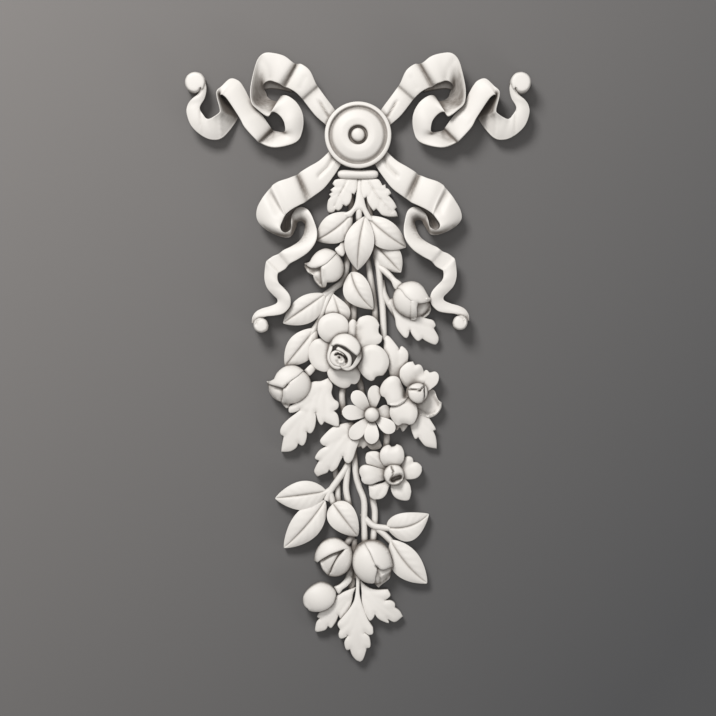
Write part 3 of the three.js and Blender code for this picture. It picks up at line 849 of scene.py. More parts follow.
STEMS = [
    [(358, 152, 8), (358, 164, 8), (358, 176, 9)],
    [(359.5, 176, 11), (359, 190, 12), (359, 204, 14), (359, 214, 14.5), (359, 224, 13)],
    [(349, 178, 6), (351, 200, 7), (350, 225, 7), (347, 250, 7)],
    [(368, 178, 6), (368, 200, 7), (372, 225, 7), (375, 250, 8), (378, 265, 9)],
    [(348, 235, 8), (347, 262, 9), (343, 280, 9), (335, 287, 10), (324, 295, 10)],
    [(344, 243, 10), (341, 250, 11), (337, 256, 14)],
    [(332, 290, 9), (327, 300, 10), (322, 312, 11), (317, 325, 11), (308, 337, 11)],
    [(375, 245, 8), (378, 262, 10), (381, 290, 10), (383, 312, 10), (384, 340, 10)],
    [(364, 224, 6), (368, 260, 5), (374, 300, 6), (377, 340, 6)],
    [(378, 266, 10), (385, 271, 13), (391, 277, 15), (397, 284, 16)],
    [(381.5, 280, 7), (384, 293, 9.5), (389, 303, 10), (397, 316, 9)],
    [(355, 262, 6), (354, 300, 7), (353, 330, 7)],
    [(345, 262, 6), (347, 285, 7), (349, 330, 7)],
    [(308, 371, 13), (315, 367, 12), (322, 364, 10)],
    [(345, 380, 6), (342, 395, 8), (344, 415, 8)],
    [(358, 375, 6), (362, 395, 7), (362, 425, 7), (354, 440, 8)],
    [(349, 450, 9), (347, 475, 9), (346, 490, 9), (349, 506, 9)],
    [(349, 452, 7), (347, 466, 9.5), (338, 480, 10.5), (331, 490, 10.5), (326, 501, 10)],
    [(333, 488, 10), (326, 493, 10), (316, 494, 10)],
    [(330, 494, 10), (333, 503, 10), (337, 512, 11)],
    [(334, 465, 6), (337, 482, 6), (338, 500, 6), (341, 520, 6)],
    [(353, 445, 9), (356, 475, 9), (359, 487, 9), (364, 502, 10), (364, 525, 10), (365, 545, 10)],
    [(384, 424, 7), (387, 436, 8), (385, 450, 7), (377, 475, 7), (373, 497, 8), (375, 515, 8), (373, 545, 9)],
    [(347, 500, 7), (352, 520, 7), (352, 540, 8)],
    [(362, 514, 8), (367, 521, 10), (375, 527, 11), (390, 529, 11)],
    [(374, 527, 9), (384, 535, 10), (394, 545, 10)],
    [(354, 540, 7), (355, 560, 7), (357, 579, 8)],
    [(351, 560, 8), (350, 572, 9), (346.5, 582, 11), (337, 590, 12)],
    [(350, 572, 7), (352, 582, 7), (351, 590, 7)],
    [(357, 524, 8), (352, 536, 9), (343, 550, 12)],
    [(365, 555, 7), (361, 570, 7), (358.5, 581, 8)],
]


VEIN_HEIGHT = 0.16


def leaf(base: Place, tip: Place, left: float, right: float, heights: Heights, **more: float) -> Blade:
    """A simple leaf with its faint side veins.

    Args:
        base: Where the midrib starts on the layout sheet.
        tip: Where it ends.
        left: Half width on the left of the midrib.
        right: Half width on its right.
        heights: Heights of the midrib at base, middle and tip.
        more: Further sizes of the blade.

    Returns:
        The leaf's blade.
    """
    return Blade(base, tip, left, right, heights, veins=VEIN_HEIGHT, **more)


LEAVES = [
    leaf((352, 213), (316, 240), 14, 14.5, (11, 17, 9), bow=2.5, widest=0.5),
    leaf((374, 243), (401, 272), 14, 10, (8, 11, 8), widest=0.5),
    leaf((367, 216), (406, 247), 12.5, 15, (11, 18, 10), bow=-2, widest=0.5),
    leaf((365, 216), (357.5, 269.5), 14.5, 14.5, (13, 22, 11), bow=-2, widest=0.5),
    leaf((351, 272), (373, 309), 13, 14, (10, 17, 9), bow=-4, widest=0.42),
    leaf((325, 294), (283, 323), 15, 11.5, (9, 13, 8), widest=0.48),
    leaf((333, 293.5), (343, 326), 11, 14, (9, 12, 9), widest=0.6, camber=0.6),
    leaf((316, 328), (285, 366), 14.5, 13, (9, 13, 8), widest=0.5),
    leaf((326, 492), (275, 499), 15, 13.5, (9, 14, 8), widest=0.44),
    leaf((325, 501), (284, 548.5), 14, 15, (9, 14, 8), bow=2, widest=0.47),
    leaf((333, 504), (357.5, 536.5), 13.5, 14.5, (12, 18, 11), widest=0.36, fullness=0.7),
    leaf((387, 528), (429, 515), 14, 14.5, (10, 15, 9), bow=-5, widest=0.4),
    leaf((391, 541), (427, 584), 14.5, 14.5, (10, 14, 9), bow=-3, widest=0.47),
]

LEAF_FACES = [
    Relief(
        [
            [(338, 254.5), (334.8, 249.3)], [(339, 245.5), (343, 240)],
            [(350, 240), (347, 248), (343, 256)],
        ],
        Spine((346, 241), (338, 252), (10, 15, 17)), pillow=1.6, reach=4.0,
    ),
    Relief(
        [
            [(384, 266.5), (389, 271), (395, 277.5), (401.5, 282.3)], [(402, 285), (395.7, 289.8)],
            [(391, 281), (387, 275), (382, 270)],
        ],
        Spine((384, 269), (398, 286), (10, 15, 17)), pillow=1.6, reach=4.0,
    ),
    Relief(
        [[(304, 370.5), (309, 365.5)], [(314, 362), (318, 365)], [(314, 371.5), (309, 376)]],
        Spine((316, 366), (307, 371), (11, 14, 15)), pillow=1.6, reach=4.0,
    ),
    Relief(
        [
            [(334, 587.5), (338.5, 594.5)], [(342.5, 590), (348, 586), (352, 580)],
            [(348.5, 572), (345, 579), (340, 584.5)],
        ],
        Spine((350, 576), (336, 591), (9, 12, 13)), pillow=1.4, reach=3.5,
    ),
    leaf_face(
        (352, 178), (329, 211), (13, 14.5, 11),
        [
            [(352, 177), (341, 178.3), (335, 179.6)], [(332.4, 183.5)], [(334.6, 186.2)],
            [(330.3, 189.6)], [(332.2, 192)], [(329, 194)], [(330.8, 196.4)],
            [(328, 199.7), (327, 205.5), (327.4, 210)], [(328.9, 212.4), (333.5, 212)], [(335.4, 209.2)],
            [(338.2, 210.6), (341.1, 208.4)], [(343.2, 204.4)],
            [(346.1, 205.8), (349.7, 202.8), (351.6, 197.6)], [(351.8, 193)],
            [(354, 194), (356.4, 190.4), (357.3, 184.6), (357, 178)],
        ],
        pillow=0.8, reach=3.0,
        more_creases=[
            Crease([(347, 180), (341, 192), (334, 206)], 1.0, 0.8),
            Crease([(344, 186), (334, 188)], 0.4, 1.0), Crease([(341, 192), (332, 196)], 0.4, 1.0),
            Crease([(343, 188), (351, 196)], 0.4, 1.0), Crease([(339, 196), (343, 205)], 0.4, 1.0),
        ],
    ),
    leaf_face(
        (365, 178), (398, 216), (13, 14.5, 11),
        [
            [(361, 178), (361, 191), (363, 197)], [(364.9, 198)],
            [(366.5, 196), (367.7, 201.9), (370.6, 206.9)], [(373.5, 210.6)],
            [(376.4, 208.4), (378.9, 211.2), (382.1, 214.8)], [(388, 216.4), (393.6, 216.6)],
            [(398, 216)], [(396.8, 211.9)], [(394.7, 209)], [(397, 207)],
            [(395.3, 203.3), (392.9, 199.7)], [(388.6, 195.2)], [(391.5, 193)], [(389, 188.9)],
            [(386, 187.6)], [(385.4, 184)], [(382.6, 185.2)], [(380.6, 181.3), (377, 178.6)],
        ],
        pillow=0.8, reach=3.0,
        more_creases=[
            Crease([(369, 181), (378, 197), (392, 212)], 1.0, 0.8),
            Crease([(374, 189), (386, 191)], 0.4, 1.0), Crease([(379, 198), (391, 202)], 0.4, 1.0),
            Crease([(373, 187), (368, 200)], 0.4, 1.0), Crease([(380, 199), (379, 210)], 0.4, 1.0),
        ],
    ),
    Relief(
        [
            [(356.8, 176), (356.4, 192), (354.6, 203), (350, 210), (341, 214.5), (350, 217)],
            [(354.6, 212), (357, 210), (361, 210)],
            [
                (363, 212), (367, 219), (374, 221), (370, 214), (366, 206), (364, 197), (362.6, 190),
                (362.4, 176),
            ],
        ],
        Spine((359.5, 176), (359.5, 216), (11, 13.5, 14)), pillow=1.4, reach=3.5,
    ),
    leaf_face(
        (386, 303), (438, 343), (9, 12, 9),
        [
            [(386, 303), (391, 308), (395, 318), (397, 328), (404, 337), (408, 337)],
            [(410, 330), (413, 336), (418, 341)], [(422.5, 338.5), (428, 342), (436, 344.5), (439, 338)],
            [(434, 328), (436, 325), (433, 320), (426, 318), (412, 312)], [(400, 300), (392, 298)],
        ],
        [(410, 330), (404, 322), (398, 312)], [(422.5, 338.5), (414, 328), (404, 317)],
        [(434, 328), (424, 325), (412, 318)],
    ),
    leaf_face(
        (415, 412), (437, 449), (9, 11, 8),
        [
            [(418, 408), (426, 413), (430, 419), (436, 429)], [(433.5, 431), (436, 437), (437, 443)],
            [(437, 449), (431, 448), (425, 446), (420, 440)],
            [(418.5, 437.5), (415, 439), (411, 428), (410, 415)],
        ],
        [(433.5, 431), (426, 425), (420, 418)], [(418.5, 437.5), (417, 428), (416, 420)],
    ),
    leaf_face(
        (366, 425), (366, 450), (11, 11.5, 9),
        [
            [(352, 430), (353, 440), (358, 447.5)], [(361, 446.5), (363, 449)],
            [(367, 446), (372, 450), (380, 449)], [(382, 446), (378, 436), (372, 425)],
        ],
        [(361, 446.5), (361, 436)],
    ),
    leaf_face(
        (398, 378), (386, 336), (9, 13, 9),
        [
            [(384, 336), (389, 336), (398, 347)], [(399, 350), (402, 346), (408, 352), (408, 361)],
            [(406, 372), (400, 380), (392, 380)], [(388, 368), (384, 352)],
        ],
        [(399, 350), (398, 360), (397, 372)],
    ),
    leaf_face((402, 412), (402, 432), (9, 10, 8), [
        [(394, 412), (396, 430)], [(400, 428), (403, 432)], [(406, 429), (409, 424), (410, 412)],
    ]),
    leaf_face(
        (325, 378), (281, 452), (13, 15, 9),
        [
            [(328, 378), (332.5, 385), (331.5, 393), (334, 399), (338, 402), (339, 405.5), (337.5, 409)],
            [(334, 411), (337.5, 414.5), (339, 420)], [(339, 426), (336, 426.6), (329, 424)],
            [(324.3, 421.8), (321.3, 425.3), (318, 421)],
            [(315.5, 412.5), (316, 420), (314.5, 428), (311.5, 433), (308.5, 433.3)],
            [(306.8, 431.8), (306.5, 438), (304.5, 444), (301.5, 446)],
            [(298, 443.7), (296, 448), (291, 451.3), (286, 452.2)], [(281, 452.2), (281.5, 447)],
            [(283.5, 436.5), (280.6, 434.5), (280, 430.5), (282.5, 425), (289, 418.5), (295, 414)],
            [(300, 410), (294, 412.5), (289, 412.5), (289, 407), (294, 403.5), (302, 394)],
            [(308, 384), (314, 381.5), (321, 381)],
        ],
        [(315.5, 413), (317, 402), (321, 390)], [(324, 421.5), (325, 410), (325, 395)],
        [(307, 432), (305, 420), (312, 402)], [(298, 443.5), (298, 430), (306, 412)],
        [(300, 410), (308, 403), (315, 394)], [(284, 437), (294, 426), (304, 412)], reach=6.5, pillow=1.5,
    ),
    leaf_face(
        (352, 425), (317, 477), (11, 14, 9),
        [
            [(352, 422), (342, 424), (333, 427), (325, 434), (320, 440.5), (322, 445)],
            [(326, 446.5), (320, 450), (316, 455), (315, 459)], [(319, 461), (315.5, 467), (314, 472)],
            [(317, 477), (322, 475), (327, 473)], [(329, 470), (332, 472), (337, 468), (340, 462)],
            [(343, 456.5), (345, 462), (349, 463.5), (353, 459), (356, 450)], [(360, 440), (360, 428)],
        ],
        [(326, 446.5), (335, 442), (345, 434)], [(319, 461), (330, 451), (341, 440)],
        [(329, 470), (338, 455), (346, 441)], [(343, 456.5), (347, 447), (350, 438)], reach=6.0,
        pillow=1.4,
    ),
    leaf_face(
        (353, 590), (315, 633), (10, 12, 8),
        [
            [(356, 588), (345, 592), (334, 598), (324, 606), (317, 617)],
            [(319.5, 619), (316, 624), (315, 632)], [(318, 633), (325, 631)],
            [(328, 627), (331, 629), (335, 624), (337, 620)],
            [(338.5, 616), (341, 620), (346, 615), (350, 608), (352.3, 600)], [(353, 595)],
        ],
        [(319.5, 619), (331, 611), (345, 599)], [(328, 627), (337, 613), (348, 601)],
        [(338.5, 616), (345, 606), (350, 600)],
    ),
    leaf_face(
        (358, 582), (360, 663), (10, 15, 9),
        [
            [(356, 577), (356, 588), (355, 597), (353, 603.5), (348, 611), (342, 618), (337.5, 624.5)],
            [(340, 630), (338.5, 635), (340, 639), (344, 638.5)],
            [(348, 636), (344.5, 642), (345, 648), (347, 651)], [(350, 650), (352, 656), (356, 661)],
            [(360, 662.9), (363, 660.6), (366, 652)],
            [(366.5, 649), (370, 648), (370.5, 643), (369, 637)],
            [(364.5, 633), (369, 635.5), (373, 634)],
            [(373, 628), (368, 620), (364, 610), (361, 601), (359.4, 592), (359.6, 577)],
        ],
        [(358, 590), (357, 610), (358, 632), (360, 650)], [(340, 630), (348, 624), (355, 610)],
        [(348, 636), (353, 628), (356, 616)], [(364.5, 633), (361, 625), (359, 612)], reach=6.0,
    ),
    leaf_face(
        (361, 585), (403, 617), (10, 14, 8),
        [
            [(360, 581), (368, 587.5), (376, 590)], [(388, 590), (390.5, 596)],
            [(385, 601), (391, 601), (395, 604)], [(395, 608), (400, 612)], [(403, 617.5), (395, 623)],
            [(388, 620), (389, 624), (383, 622), (378, 619)], [(375, 615), (373, 619), (369.5, 621)],
            [(364.5, 613), (361.8, 602), (361.5, 592)],
        ],
        [(362, 588), (376, 602), (396, 616)], [(385, 601), (377, 598), (368, 591)],
        [(388, 620), (380, 612), (368, 599)], [(375, 615), (369, 605), (363, 595)], reach=6.0,
    ),
]


@dataclass(frozen=True)
class Wrap:
    """A petal that wraps a round form: how far it stands off the form, its outline and the
    creases of its own."""

    lift: float
    outline: Outline
    creases: list[Crease] = field(default_factory=list)


@dataclass
class Bud:
    """A closed bud: a round body, the petals that wrap it and the creases that run over them.
    The body keeps a margin inside the petals' round form and lies a drop below it."""

    form: Round
    petals: list[Wrap]
    creases: list[Crease]
    body_drop: float = 5.0
    body_margin: float = 5.0
    petal_pillow: float = 0.9
    petal_reach: float = 2.5

    def shells(self) -> list[Shell]:
        """The shells of the body and of each petal."""
        form = self.form
        body = Dome(form.centre, form.along - self.body_margin, form.rim + form.rise - self.body_drop,
                    form.rim - self.body_drop, across=form.across - self.body_margin)
        made = [
            Relief(petal.outline, form, lift=petal.lift, pillow=self.petal_pillow,
                   reach=self.petal_reach, creases=self.creases).shell()
            for petal in self.petals
        ]
        return [body.shell(), *made]


BUDS = [
    Bud(
        Round((325, 268), 19, 20, 13, 12),
        [
            Wrap(-3.2, [
                [(305, 261), (312, 264), (321, 266), (325, 275)],
                [(327, 284), (325, 287.5), (320.5, 287.5)], [(318, 285), (314.5, 281), (313.3, 277)],
                [(313.5, 275.2), (309, 273.5), (306, 270)], [(304, 266)],
            ]),
            Wrap(0.0, [
                [(337, 253), (341, 258), (343.8, 264), (343.8, 271), (341, 277), (335, 281.5)],
                [(327, 282.5), (325.5, 287)], [(322.5, 286.5), (321.3, 278), (321, 267.5)],
                [(324.5, 264.5), (330, 259.5)],
            ]),
            Wrap(1.3, [
                [(304.5, 263), (309.5, 261.8), (312, 257.5), (317, 251.8), (325, 248), (331, 249.3)],
                [(336.5, 252.5), (334, 256), (330, 260.5), (326, 264), (321, 266.5)],
                [(316, 268.3), (311, 268)], [(307, 266)],
            ]),
        ],
        [
            Crease([(323.2, 269), (323, 276), (323.6, 284)], -1.3, 1.2),
            Crease([(318, 270), (313.5, 271.5)], 2.0, 2.4),
            Crease([(319.5, 272), (318.5, 280)], 0.5, 1.8),
            Crease(
                [
                    (304.8, 264), (305.2, 268), (308, 272), (313, 274.6), (314.3, 277.5), (315.5, 281),
                    (318.5, 284.5), (321.5, 286.5),
                ],
                -3.4, 1.1,
            ),
        ],
    ),
    Bud(
        Round((412, 299), 19.5, 18.5, 14, 12),
        [
            Wrap(-4.4, [
                [(414, 301), (420, 300), (429, 300)],
                [(431.3, 306), (431, 311), (428, 315.5), (424, 317.8), (418, 317.8)],
            ]),
            Wrap(0.0, [
                [(396.5, 288), (402, 288), (407, 294), (414, 299)],
                [
                    (413, 310), (411.5, 317.5), (406, 316.3), (400, 313.3), (395.5, 308), (393.3, 301),
                    (393.5, 294),
                ],
            ]),
            Wrap(1.4, [
                [(411, 300), (417.5, 301)], [(416.8, 308), (417, 314), (416.8, 318.5)],
                [(414, 320.3), (411, 319)], [(410.8, 312), (410.5, 306)],
            ]),
            Wrap(1.4, [
                [
                    (397, 287.5), (401, 284), (406, 281.8), (412, 281), (418, 282.5), (423, 287),
                    (426.5, 293),
                ],
                [(429, 297.3), (432, 297.6)],
                [
                    (433.5, 299), (431, 300.8), (426, 302.5), (420, 303.5), (414, 302.6), (409, 299.8),
                    (404.5, 295.5), (401, 290),
                ],
            ]),
        ],
        [
            Crease([(430.6, 304), (431, 309), (428.5, 314), (424.5, 317)], -2.8, 1.1),
            Crease([(427.5, 299.3), (432, 299)], -2.0, 1.2), Crease([(417, 304), (421, 309)], 1.2, 2.4),
        ],
    ),
    Bud(
        Round((290, 384), 21.5, 20, 13, 13),
        [
            Wrap(-2.6, [
                [(267, 381), (285, 384), (286, 396)],
                [(286, 405), (282, 402.8), (277, 401), (272, 397), (268.8, 391.5), (268, 386)],
            ]),
            Wrap(0.0, [
                [
                    (303, 371), (308, 375.5), (311, 382), (311, 389), (307.5, 395.5), (302, 400.5),
                    (295, 403.6),
                ],
                [(290.5, 404.5), (288.5, 408)], [(286, 408.3), (283, 405.3), (281.5, 402.5)],
                [(283, 396), (283.3, 389)], [(287, 383.5), (295, 377.5)],
            ]),
            Wrap(1.3, [
                [(303.5, 370.5), (299, 367), (294, 365.3), (287, 365.8), (281.5, 368.5), (277, 373)],
                [(274, 379), (270, 381)], [(266.3, 381.3)], [(268, 384), (276, 386), (284, 387.8)],
                [(287, 384.5), (292, 380), (298, 376)],
            ]),
        ],
        [
            Crease([(286.2, 391), (287.6, 399)], -1.0, 2.2),
            Crease([(281, 389.5), (276, 388.5)], 1.4, 2.4),
            Crease([(268.8, 386), (269.3, 391), (273, 397), (278, 400.6), (283, 403)], -2.4, 1.1),
            Crease([(284.5, 387.6), (288, 384.2)], 3.0, 1.0),
        ],
    ),
    Bud(
        Round((334, 557), 20, 20, 13, 14),
        [
            Wrap(-4.0, [
                [(344, 547), (342, 556), (333, 573)], [(328, 576.5), (322.5, 570), (320, 563)],
                [(319.5, 559)],
            ]),
            Wrap(0.0, [
                [
                    (345, 548.8), (350, 546.5), (352.6, 554), (351.8, 563), (348, 570.5), (342, 575.5),
                    (335, 577.3),
                ],
                [(328.5, 576.5), (331, 571), (334, 563.5), (338.5, 556)],
            ]),
            Wrap(0.5, [
                [
                    (351, 548.5), (344, 542), (337, 538.7), (329.5, 539), (323, 542), (318, 547.5),
                    (315, 554),
                ],
                [(313.8, 560.8)], [(317.5, 562.3), (322, 558.7), (330, 554), (338, 550.8), (345, 548.8)],
            ]),
        ],
        [
            Crease([(343, 550), (338, 556.5), (333.8, 564), (330.5, 572)], 2.8, 1.0),
            Crease([(341, 551.3), (331, 555), (323, 559.5)], 2.0, 1.0),
            Crease([(321, 563), (323.5, 569), (328, 574.8)], -1.6, 1.0),
        ],
    ),
    Bud(
        Round((372, 563), 21, 22, 14, 14),
        [
            Wrap(-3.0, [
                [(374, 563), (381, 565.5), (392.5, 567.5)], [(390.8, 573), (390, 578.5)],
                [(386, 582.3), (382, 585)], [(378.6, 588.3), (375.6, 585.5)], [(373, 582)],
            ]),
            Wrap(0.0, [
                [(364.5, 541.5), (367.5, 547), (370.5, 553), (373, 559), (376.5, 565.5)],
                [(377, 570.5), (375.5, 576), (374, 583)],
                [
                    (368.5, 583.3), (362.5, 581), (356.5, 575), (353, 567.5), (352.4, 559), (354, 551.5),
                    (358.5, 545),
                ],
            ]),
            Wrap(1.3, [
                [(364.5, 541.8), (370, 540.6), (377, 541), (383, 543.7), (388, 549), (391, 556.5)],
                [(393.6, 566.8), (389, 567.4), (385, 568.9), (380, 568.6), (376, 565.5)],
                [(373, 559), (370, 552), (367, 547)],
            ]),
        ],
        [
            Crease([(378, 572), (380.5, 578), (379, 586)], 1.4, 1.2),
            Crease([(381, 576.5), (385, 573.5), (390, 571)], -1.6, 1.1),
            Crease([(376, 578), (378.5, 583)], -1.0, 1.2), Crease([(376, 565.5), (378.5, 568)], 3.0, 1.0),
        ],
    ),
    Bud(
        Round((319.5, 598), 19, 17.5, 10, 12),
        [Wrap(0.0, [
            [(336, 596), (333.5, 603), (328, 608.5), (321, 611.5), (314, 612.2), (309, 611)],
            [(307.6, 608.8), (305, 607.5)],
            [
                (303, 603), (303.2, 597), (307, 591), (313, 586), (320, 583), (327, 584), (332.5, 587.5),
                (335.8, 592),
            ],
        ])],
        [Crease([(305, 605), (309, 610)], -1.2, 1.3)],
    ),
]


@dataclass(frozen=True)
class Petal:
    """A petal of an open flower: its tip, its heights at the heart, in the middle and at the
    tip, how much it swells, its outline and its creases."""

    tip: Place
    heights: Heights
    pillow: float
    outline: Outline
    creases: list[Crease] = field(default_factory=list)


@dataclass
class Flower:
    """An open flower: its petals, each a relief whose height follows a spine from the heart, and
    a low disc under the heart."""

    heart: Place
    petals: list[Petal]
    disc_radius: float
    disc_height: float
    disc_rise: float = 2.0
    petal_reach: float = 7.0

    def shells(self) -> list[Shell]:
        """The shells of the petals and of the disc under the heart."""
        made = [
            Relief(petal.outline, Spine(self.heart, petal.tip, petal.heights), pillow=petal.pillow,
                   reach=self.petal_reach, creases=petal.creases).shell()
            for petal in self.petals
        ]
        shoulder = self.disc_height - self.disc_rise
        return [*made, Dome(self.heart, self.disc_radius, self.disc_height, shoulder).shell()]


FLOWERS = [
    Flower(
        (344, 353),
        [
            Petal((310, 355), (11, 15, 14), 1.8, [
                [
                    (330, 340), (320, 338.5), (313, 341), (308.5, 349), (309, 359), (313.5, 367),
                    (321, 371.3), (328, 371),
                ],
                [(336, 362)],
            ]),
            Petal((344, 389), (11, 15, 14), 1.8, [
                [(329, 364), (327, 372), (330, 380), (337, 386), (344, 388.5), (349, 387)],
                [(351, 384), (356, 384), (359.5, 379), (360, 370), (352, 362)],
            ]),
            Petal(
                (373, 318), (12, 18, 17), 1.6,
                [
                    [(350, 345), (347, 334), (348, 325), (351, 320), (354, 319.3)],
                    [(356.8, 322), (360, 317.5), (367, 315.3), (373, 316.5), (377, 320)], [(379.5, 325)],
                    [(378.5, 329), (379, 333)],
                    [(382.5, 336.5), (381, 342), (376, 345), (368, 346), (360, 350)],
                ],
                [
                    Crease([(356.8, 321), (356.2, 328), (356.5, 337)], 1.6, 1.2),
                    Crease([(358.5, 330), (358, 339)], 2.4, 4.0),
                ],
            ),
            Petal((332, 314), (12, 19, 18), 2.2, [[
                (336, 343), (326, 342), (319, 335), (317.5, 327), (320, 319), (326, 314.5), (334, 312.8),
                (342, 315), (347.5, 320.5), (348.5, 328), (346, 336),
            ]]),
            Petal(
                (388, 362), (12, 18, 18), 2.4,
                [
                    [
                        (358, 352), (364, 346.5), (372, 344.3), (380, 346.5), (386.5, 353), (389.3, 362),
                        (387, 370),
                    ],
                    [(383, 375.5), (376.5, 376.5)],
                    [(374, 380), (371, 381), (366, 378.5), (361, 373), (357, 364)],
                ],
                [Crease([(366, 350), (363, 362), (366, 374)], -0.8, 3.0)],
            ),
        ],
        disc_radius=17, disc_height=20,
    ),
    Flower(
        (415, 392),
        [
            Petal(
                (437, 410), (9, 9.5, 12), -1.0,
                [
                    [(420, 394), (427, 391), (432, 389.5), (435, 391)], [(437, 397), (439, 400.5)],
                    [(442, 402.5), (441.5, 408), (438, 413.5), (433, 417), (427, 418), (420, 416)],
                    [(413, 408)],
                ],
                [Crease(
                    [(419.5, 413.8), (428, 416.4), (436, 413.6), (440.4, 407), (440.6, 403), (437, 397)],
                    -2.6, 1.2,
                )],
            ),
            Petal(
                (438, 375), (12, 16, 17), 0.6,
                [
                    [(418, 390), (420, 380), (422, 374)], [(424, 371.5), (425.7, 370)],
                    [(427.5, 370.3), (429.5, 372.5)],
                    [(431, 372.5), (435, 371.5), (438.3, 374), (439, 378.5), (437, 384)],
                    [(431.5, 389), (424, 394)],
                ],
                [Crease([(424, 371.5), (421, 380), (420, 388)], 1.4, 3.0)],
            ),
            Petal(
                (411, 362), (12, 18, 18), 1.2,
                [
                    [(409, 389), (403.5, 384.5), (400, 378), (400, 370), (404, 365), (408, 362.3)],
                    [(413, 361.5), (414.2, 364)], [(415.5, 365.2), (419, 364.3), (422, 366.5)],
                    [(424, 371.8), (426, 378), (424, 386), (417, 391)],
                ],
                [Crease([(424, 373), (418, 377), (414, 386)], 2.8, 5.0)],
            ),
            Petal((404, 425), (12, 19, 18), 2.4, [
                [
                    (408, 398), (398, 401), (391, 406.5), (389.5, 413), (391.5, 419), (396, 424.8),
                    (399, 425.5),
                ],
                [(402, 423.6), (406.5, 423.8)],
                [(409, 425), (413.5, 423.5), (417, 417), (417.5, 410), (415, 403)],
            ]),
            Petal(
                (380, 391), (14, 22, 20), 2.2,
                [
                    [
                        (408, 397), (405, 391), (402.5, 385.5), (399.5, 379), (396, 376.3), (390, 376.5),
                        (384, 381), (380.5, 387), (380, 392.5),
                    ],
                    [(381.5, 396)], [(384.5, 397.5), (386.5, 401)],
                    [(387.5, 404.5), (393, 406), (399, 405.3), (404, 402.5)],
                ],
                [
                    Crease([(404.5, 384), (406, 391), (405.5, 396)], 5.5, 2.8),
                    Crease([(391, 405), (398, 404.2), (403, 401.4), (406, 398.5)], -1.8, 1.1),
                ],
            ),
        ],
        disc_radius=9, disc_height=16,
    ),
    Flower(
        (393, 474),
        [
            Petal(
                (423, 468), (9, 14, 14), 1.6,
                [
                    [(398, 470), (402, 461), (405, 457.6), (409, 456.4), (412.6, 458.3)],
                    [(413.6, 462.3), (417.5, 462.8), (420.3, 464.8)],
                    [(422, 467), (421.8, 472), (418.5, 477), (412.5, 479.4), (402, 478.5)],
                ],
                [Crease([(413, 462), (404, 468)], 0.8, 2.5)],
            ),
            Petal(
                (367, 453), (10, 15, 15), 1.6,
                [
                    [(388, 472), (380, 468.4), (372, 465.6), (366.6, 463.8)],
                    [(365.3, 458), (366.5, 453.6), (371, 451.6), (377, 451.7), (382, 455), (388, 464)],
                ],
                [Crease([(371, 455), (378, 461), (386, 469)], -1.0, 1.6)],
            ),
            Petal((358.5, 474), (7, 17, 16), 2.0, [
                [(388, 470), (380, 468.6), (371, 465.8), (364, 465.2), (360, 468), (359.3, 473)],
                [(361.2, 477.5), (361.6, 481)], [(364.5, 484), (371, 484.6), (378, 482), (389, 478)],
            ]),
            Petal(
                (376, 500), (9, 14, 15), 1.8,
                [
                    [(390, 478), (383, 483), (374, 484.5)], [(368.5, 485.5), (369, 491), (370, 497)],
                    [(374, 499.8), (381, 499), (386, 495), (388.5, 489), (392, 480)],
                ],
                [Crease([(378, 496), (386, 484)], 0.8, 2.5)],
            ),
            Petal(
                (407, 500), (9, 15, 15), 1.8,
                [
                    [(391, 480), (391, 490), (394.5, 497), (401, 500.3), (409, 500)],
                    [(411.5, 492), (410, 485), (406.5, 480.5), (401, 474)],
                ],
                [Crease([(404, 497), (397, 484)], 0.8, 2.5)],
            ),
            Petal((391, 445), (13, 20, 19), 2.6, [
                [(384, 466), (380.5, 460), (380, 453), (383, 447.5), (388.5, 444.8)],
                [(391.5, 447), (394.5, 446.5)],
                [(397, 444.3), (401.5, 446.5), (404, 452), (404, 459), (401, 464), (396, 467)],
            ]),
        ],
        disc_radius=9, disc_height=15,
    ),
]


@dataclass
class Daisy:
    """A daisy: separate long petals round a button. Each petal is its tip, its height there and
    its half width."""

    heart: Place = (372, 415)
    heart_height: float = 8.0
    petals: tuple[tuple[float, float, float, float], ...] = (
        (375.3, 385.3, 14, 6.3), (391.5, 411, 13.5, 6.8), (394.5, 431.5, 17, 6.8), (371.5, 444, 18, 7.0),
        (350.5, 438.5, 17.5, 6.9), (342, 411.5, 17.5, 7.2), (353, 391.5, 18, 7.0),
    )

    def shells(self) -> list[Shell]:
        """The shells of the petals and of the low disc under the button."""
        made = [
            Blade(self.heart, (x, y), half_width, half_width, (self.heart_height, height, height),
                  widest=0.7, fullness=0.55, camber=-0.2, groove=0.3, groove_width=2.5, edge_drop=0.4,
                  steps=26, across=15).shell()
            for x, y, height, half_width in self.petals
        ]
        return [*made, Dome(self.heart, along=9.0, height=11.0, shoulder=9.0).shell()]


@dataclass(frozen=True)
class Rose:
    """The rose's heart: rolled petals over a dark cup, under a curled hood."""

    cup: Dome = Dome((344.5, 353), along=16.4, height=12, shoulder=9)
    petals_form: Round = field(default_factory=lambda: Round((341, 358), 21, 21, 22, 10))
    hood_form: Round = field(default_factory=lambda: Round((347, 352), 19, 20, 26, 10.4))

    def shells(self) -> list[Shell]:
        """The shells of the cup, the petals from the outermost to the innermost, and the hood."""
        made = [
            Relief(petal.outline, self.petals_form, lift=petal.lift, creases=petal.creases,
                   pillow=0.8, reach=1.6, rounding=0.6, spacing=1.1).shell()
            for petal in ROSE_PETALS
        ]
        hood = Relief(ROSE_HOOD, self.hood_form, pillow=0.6, reach=2.0, rounding=1.0)
        return [self.cup.shell(), *made, hood.shell()]


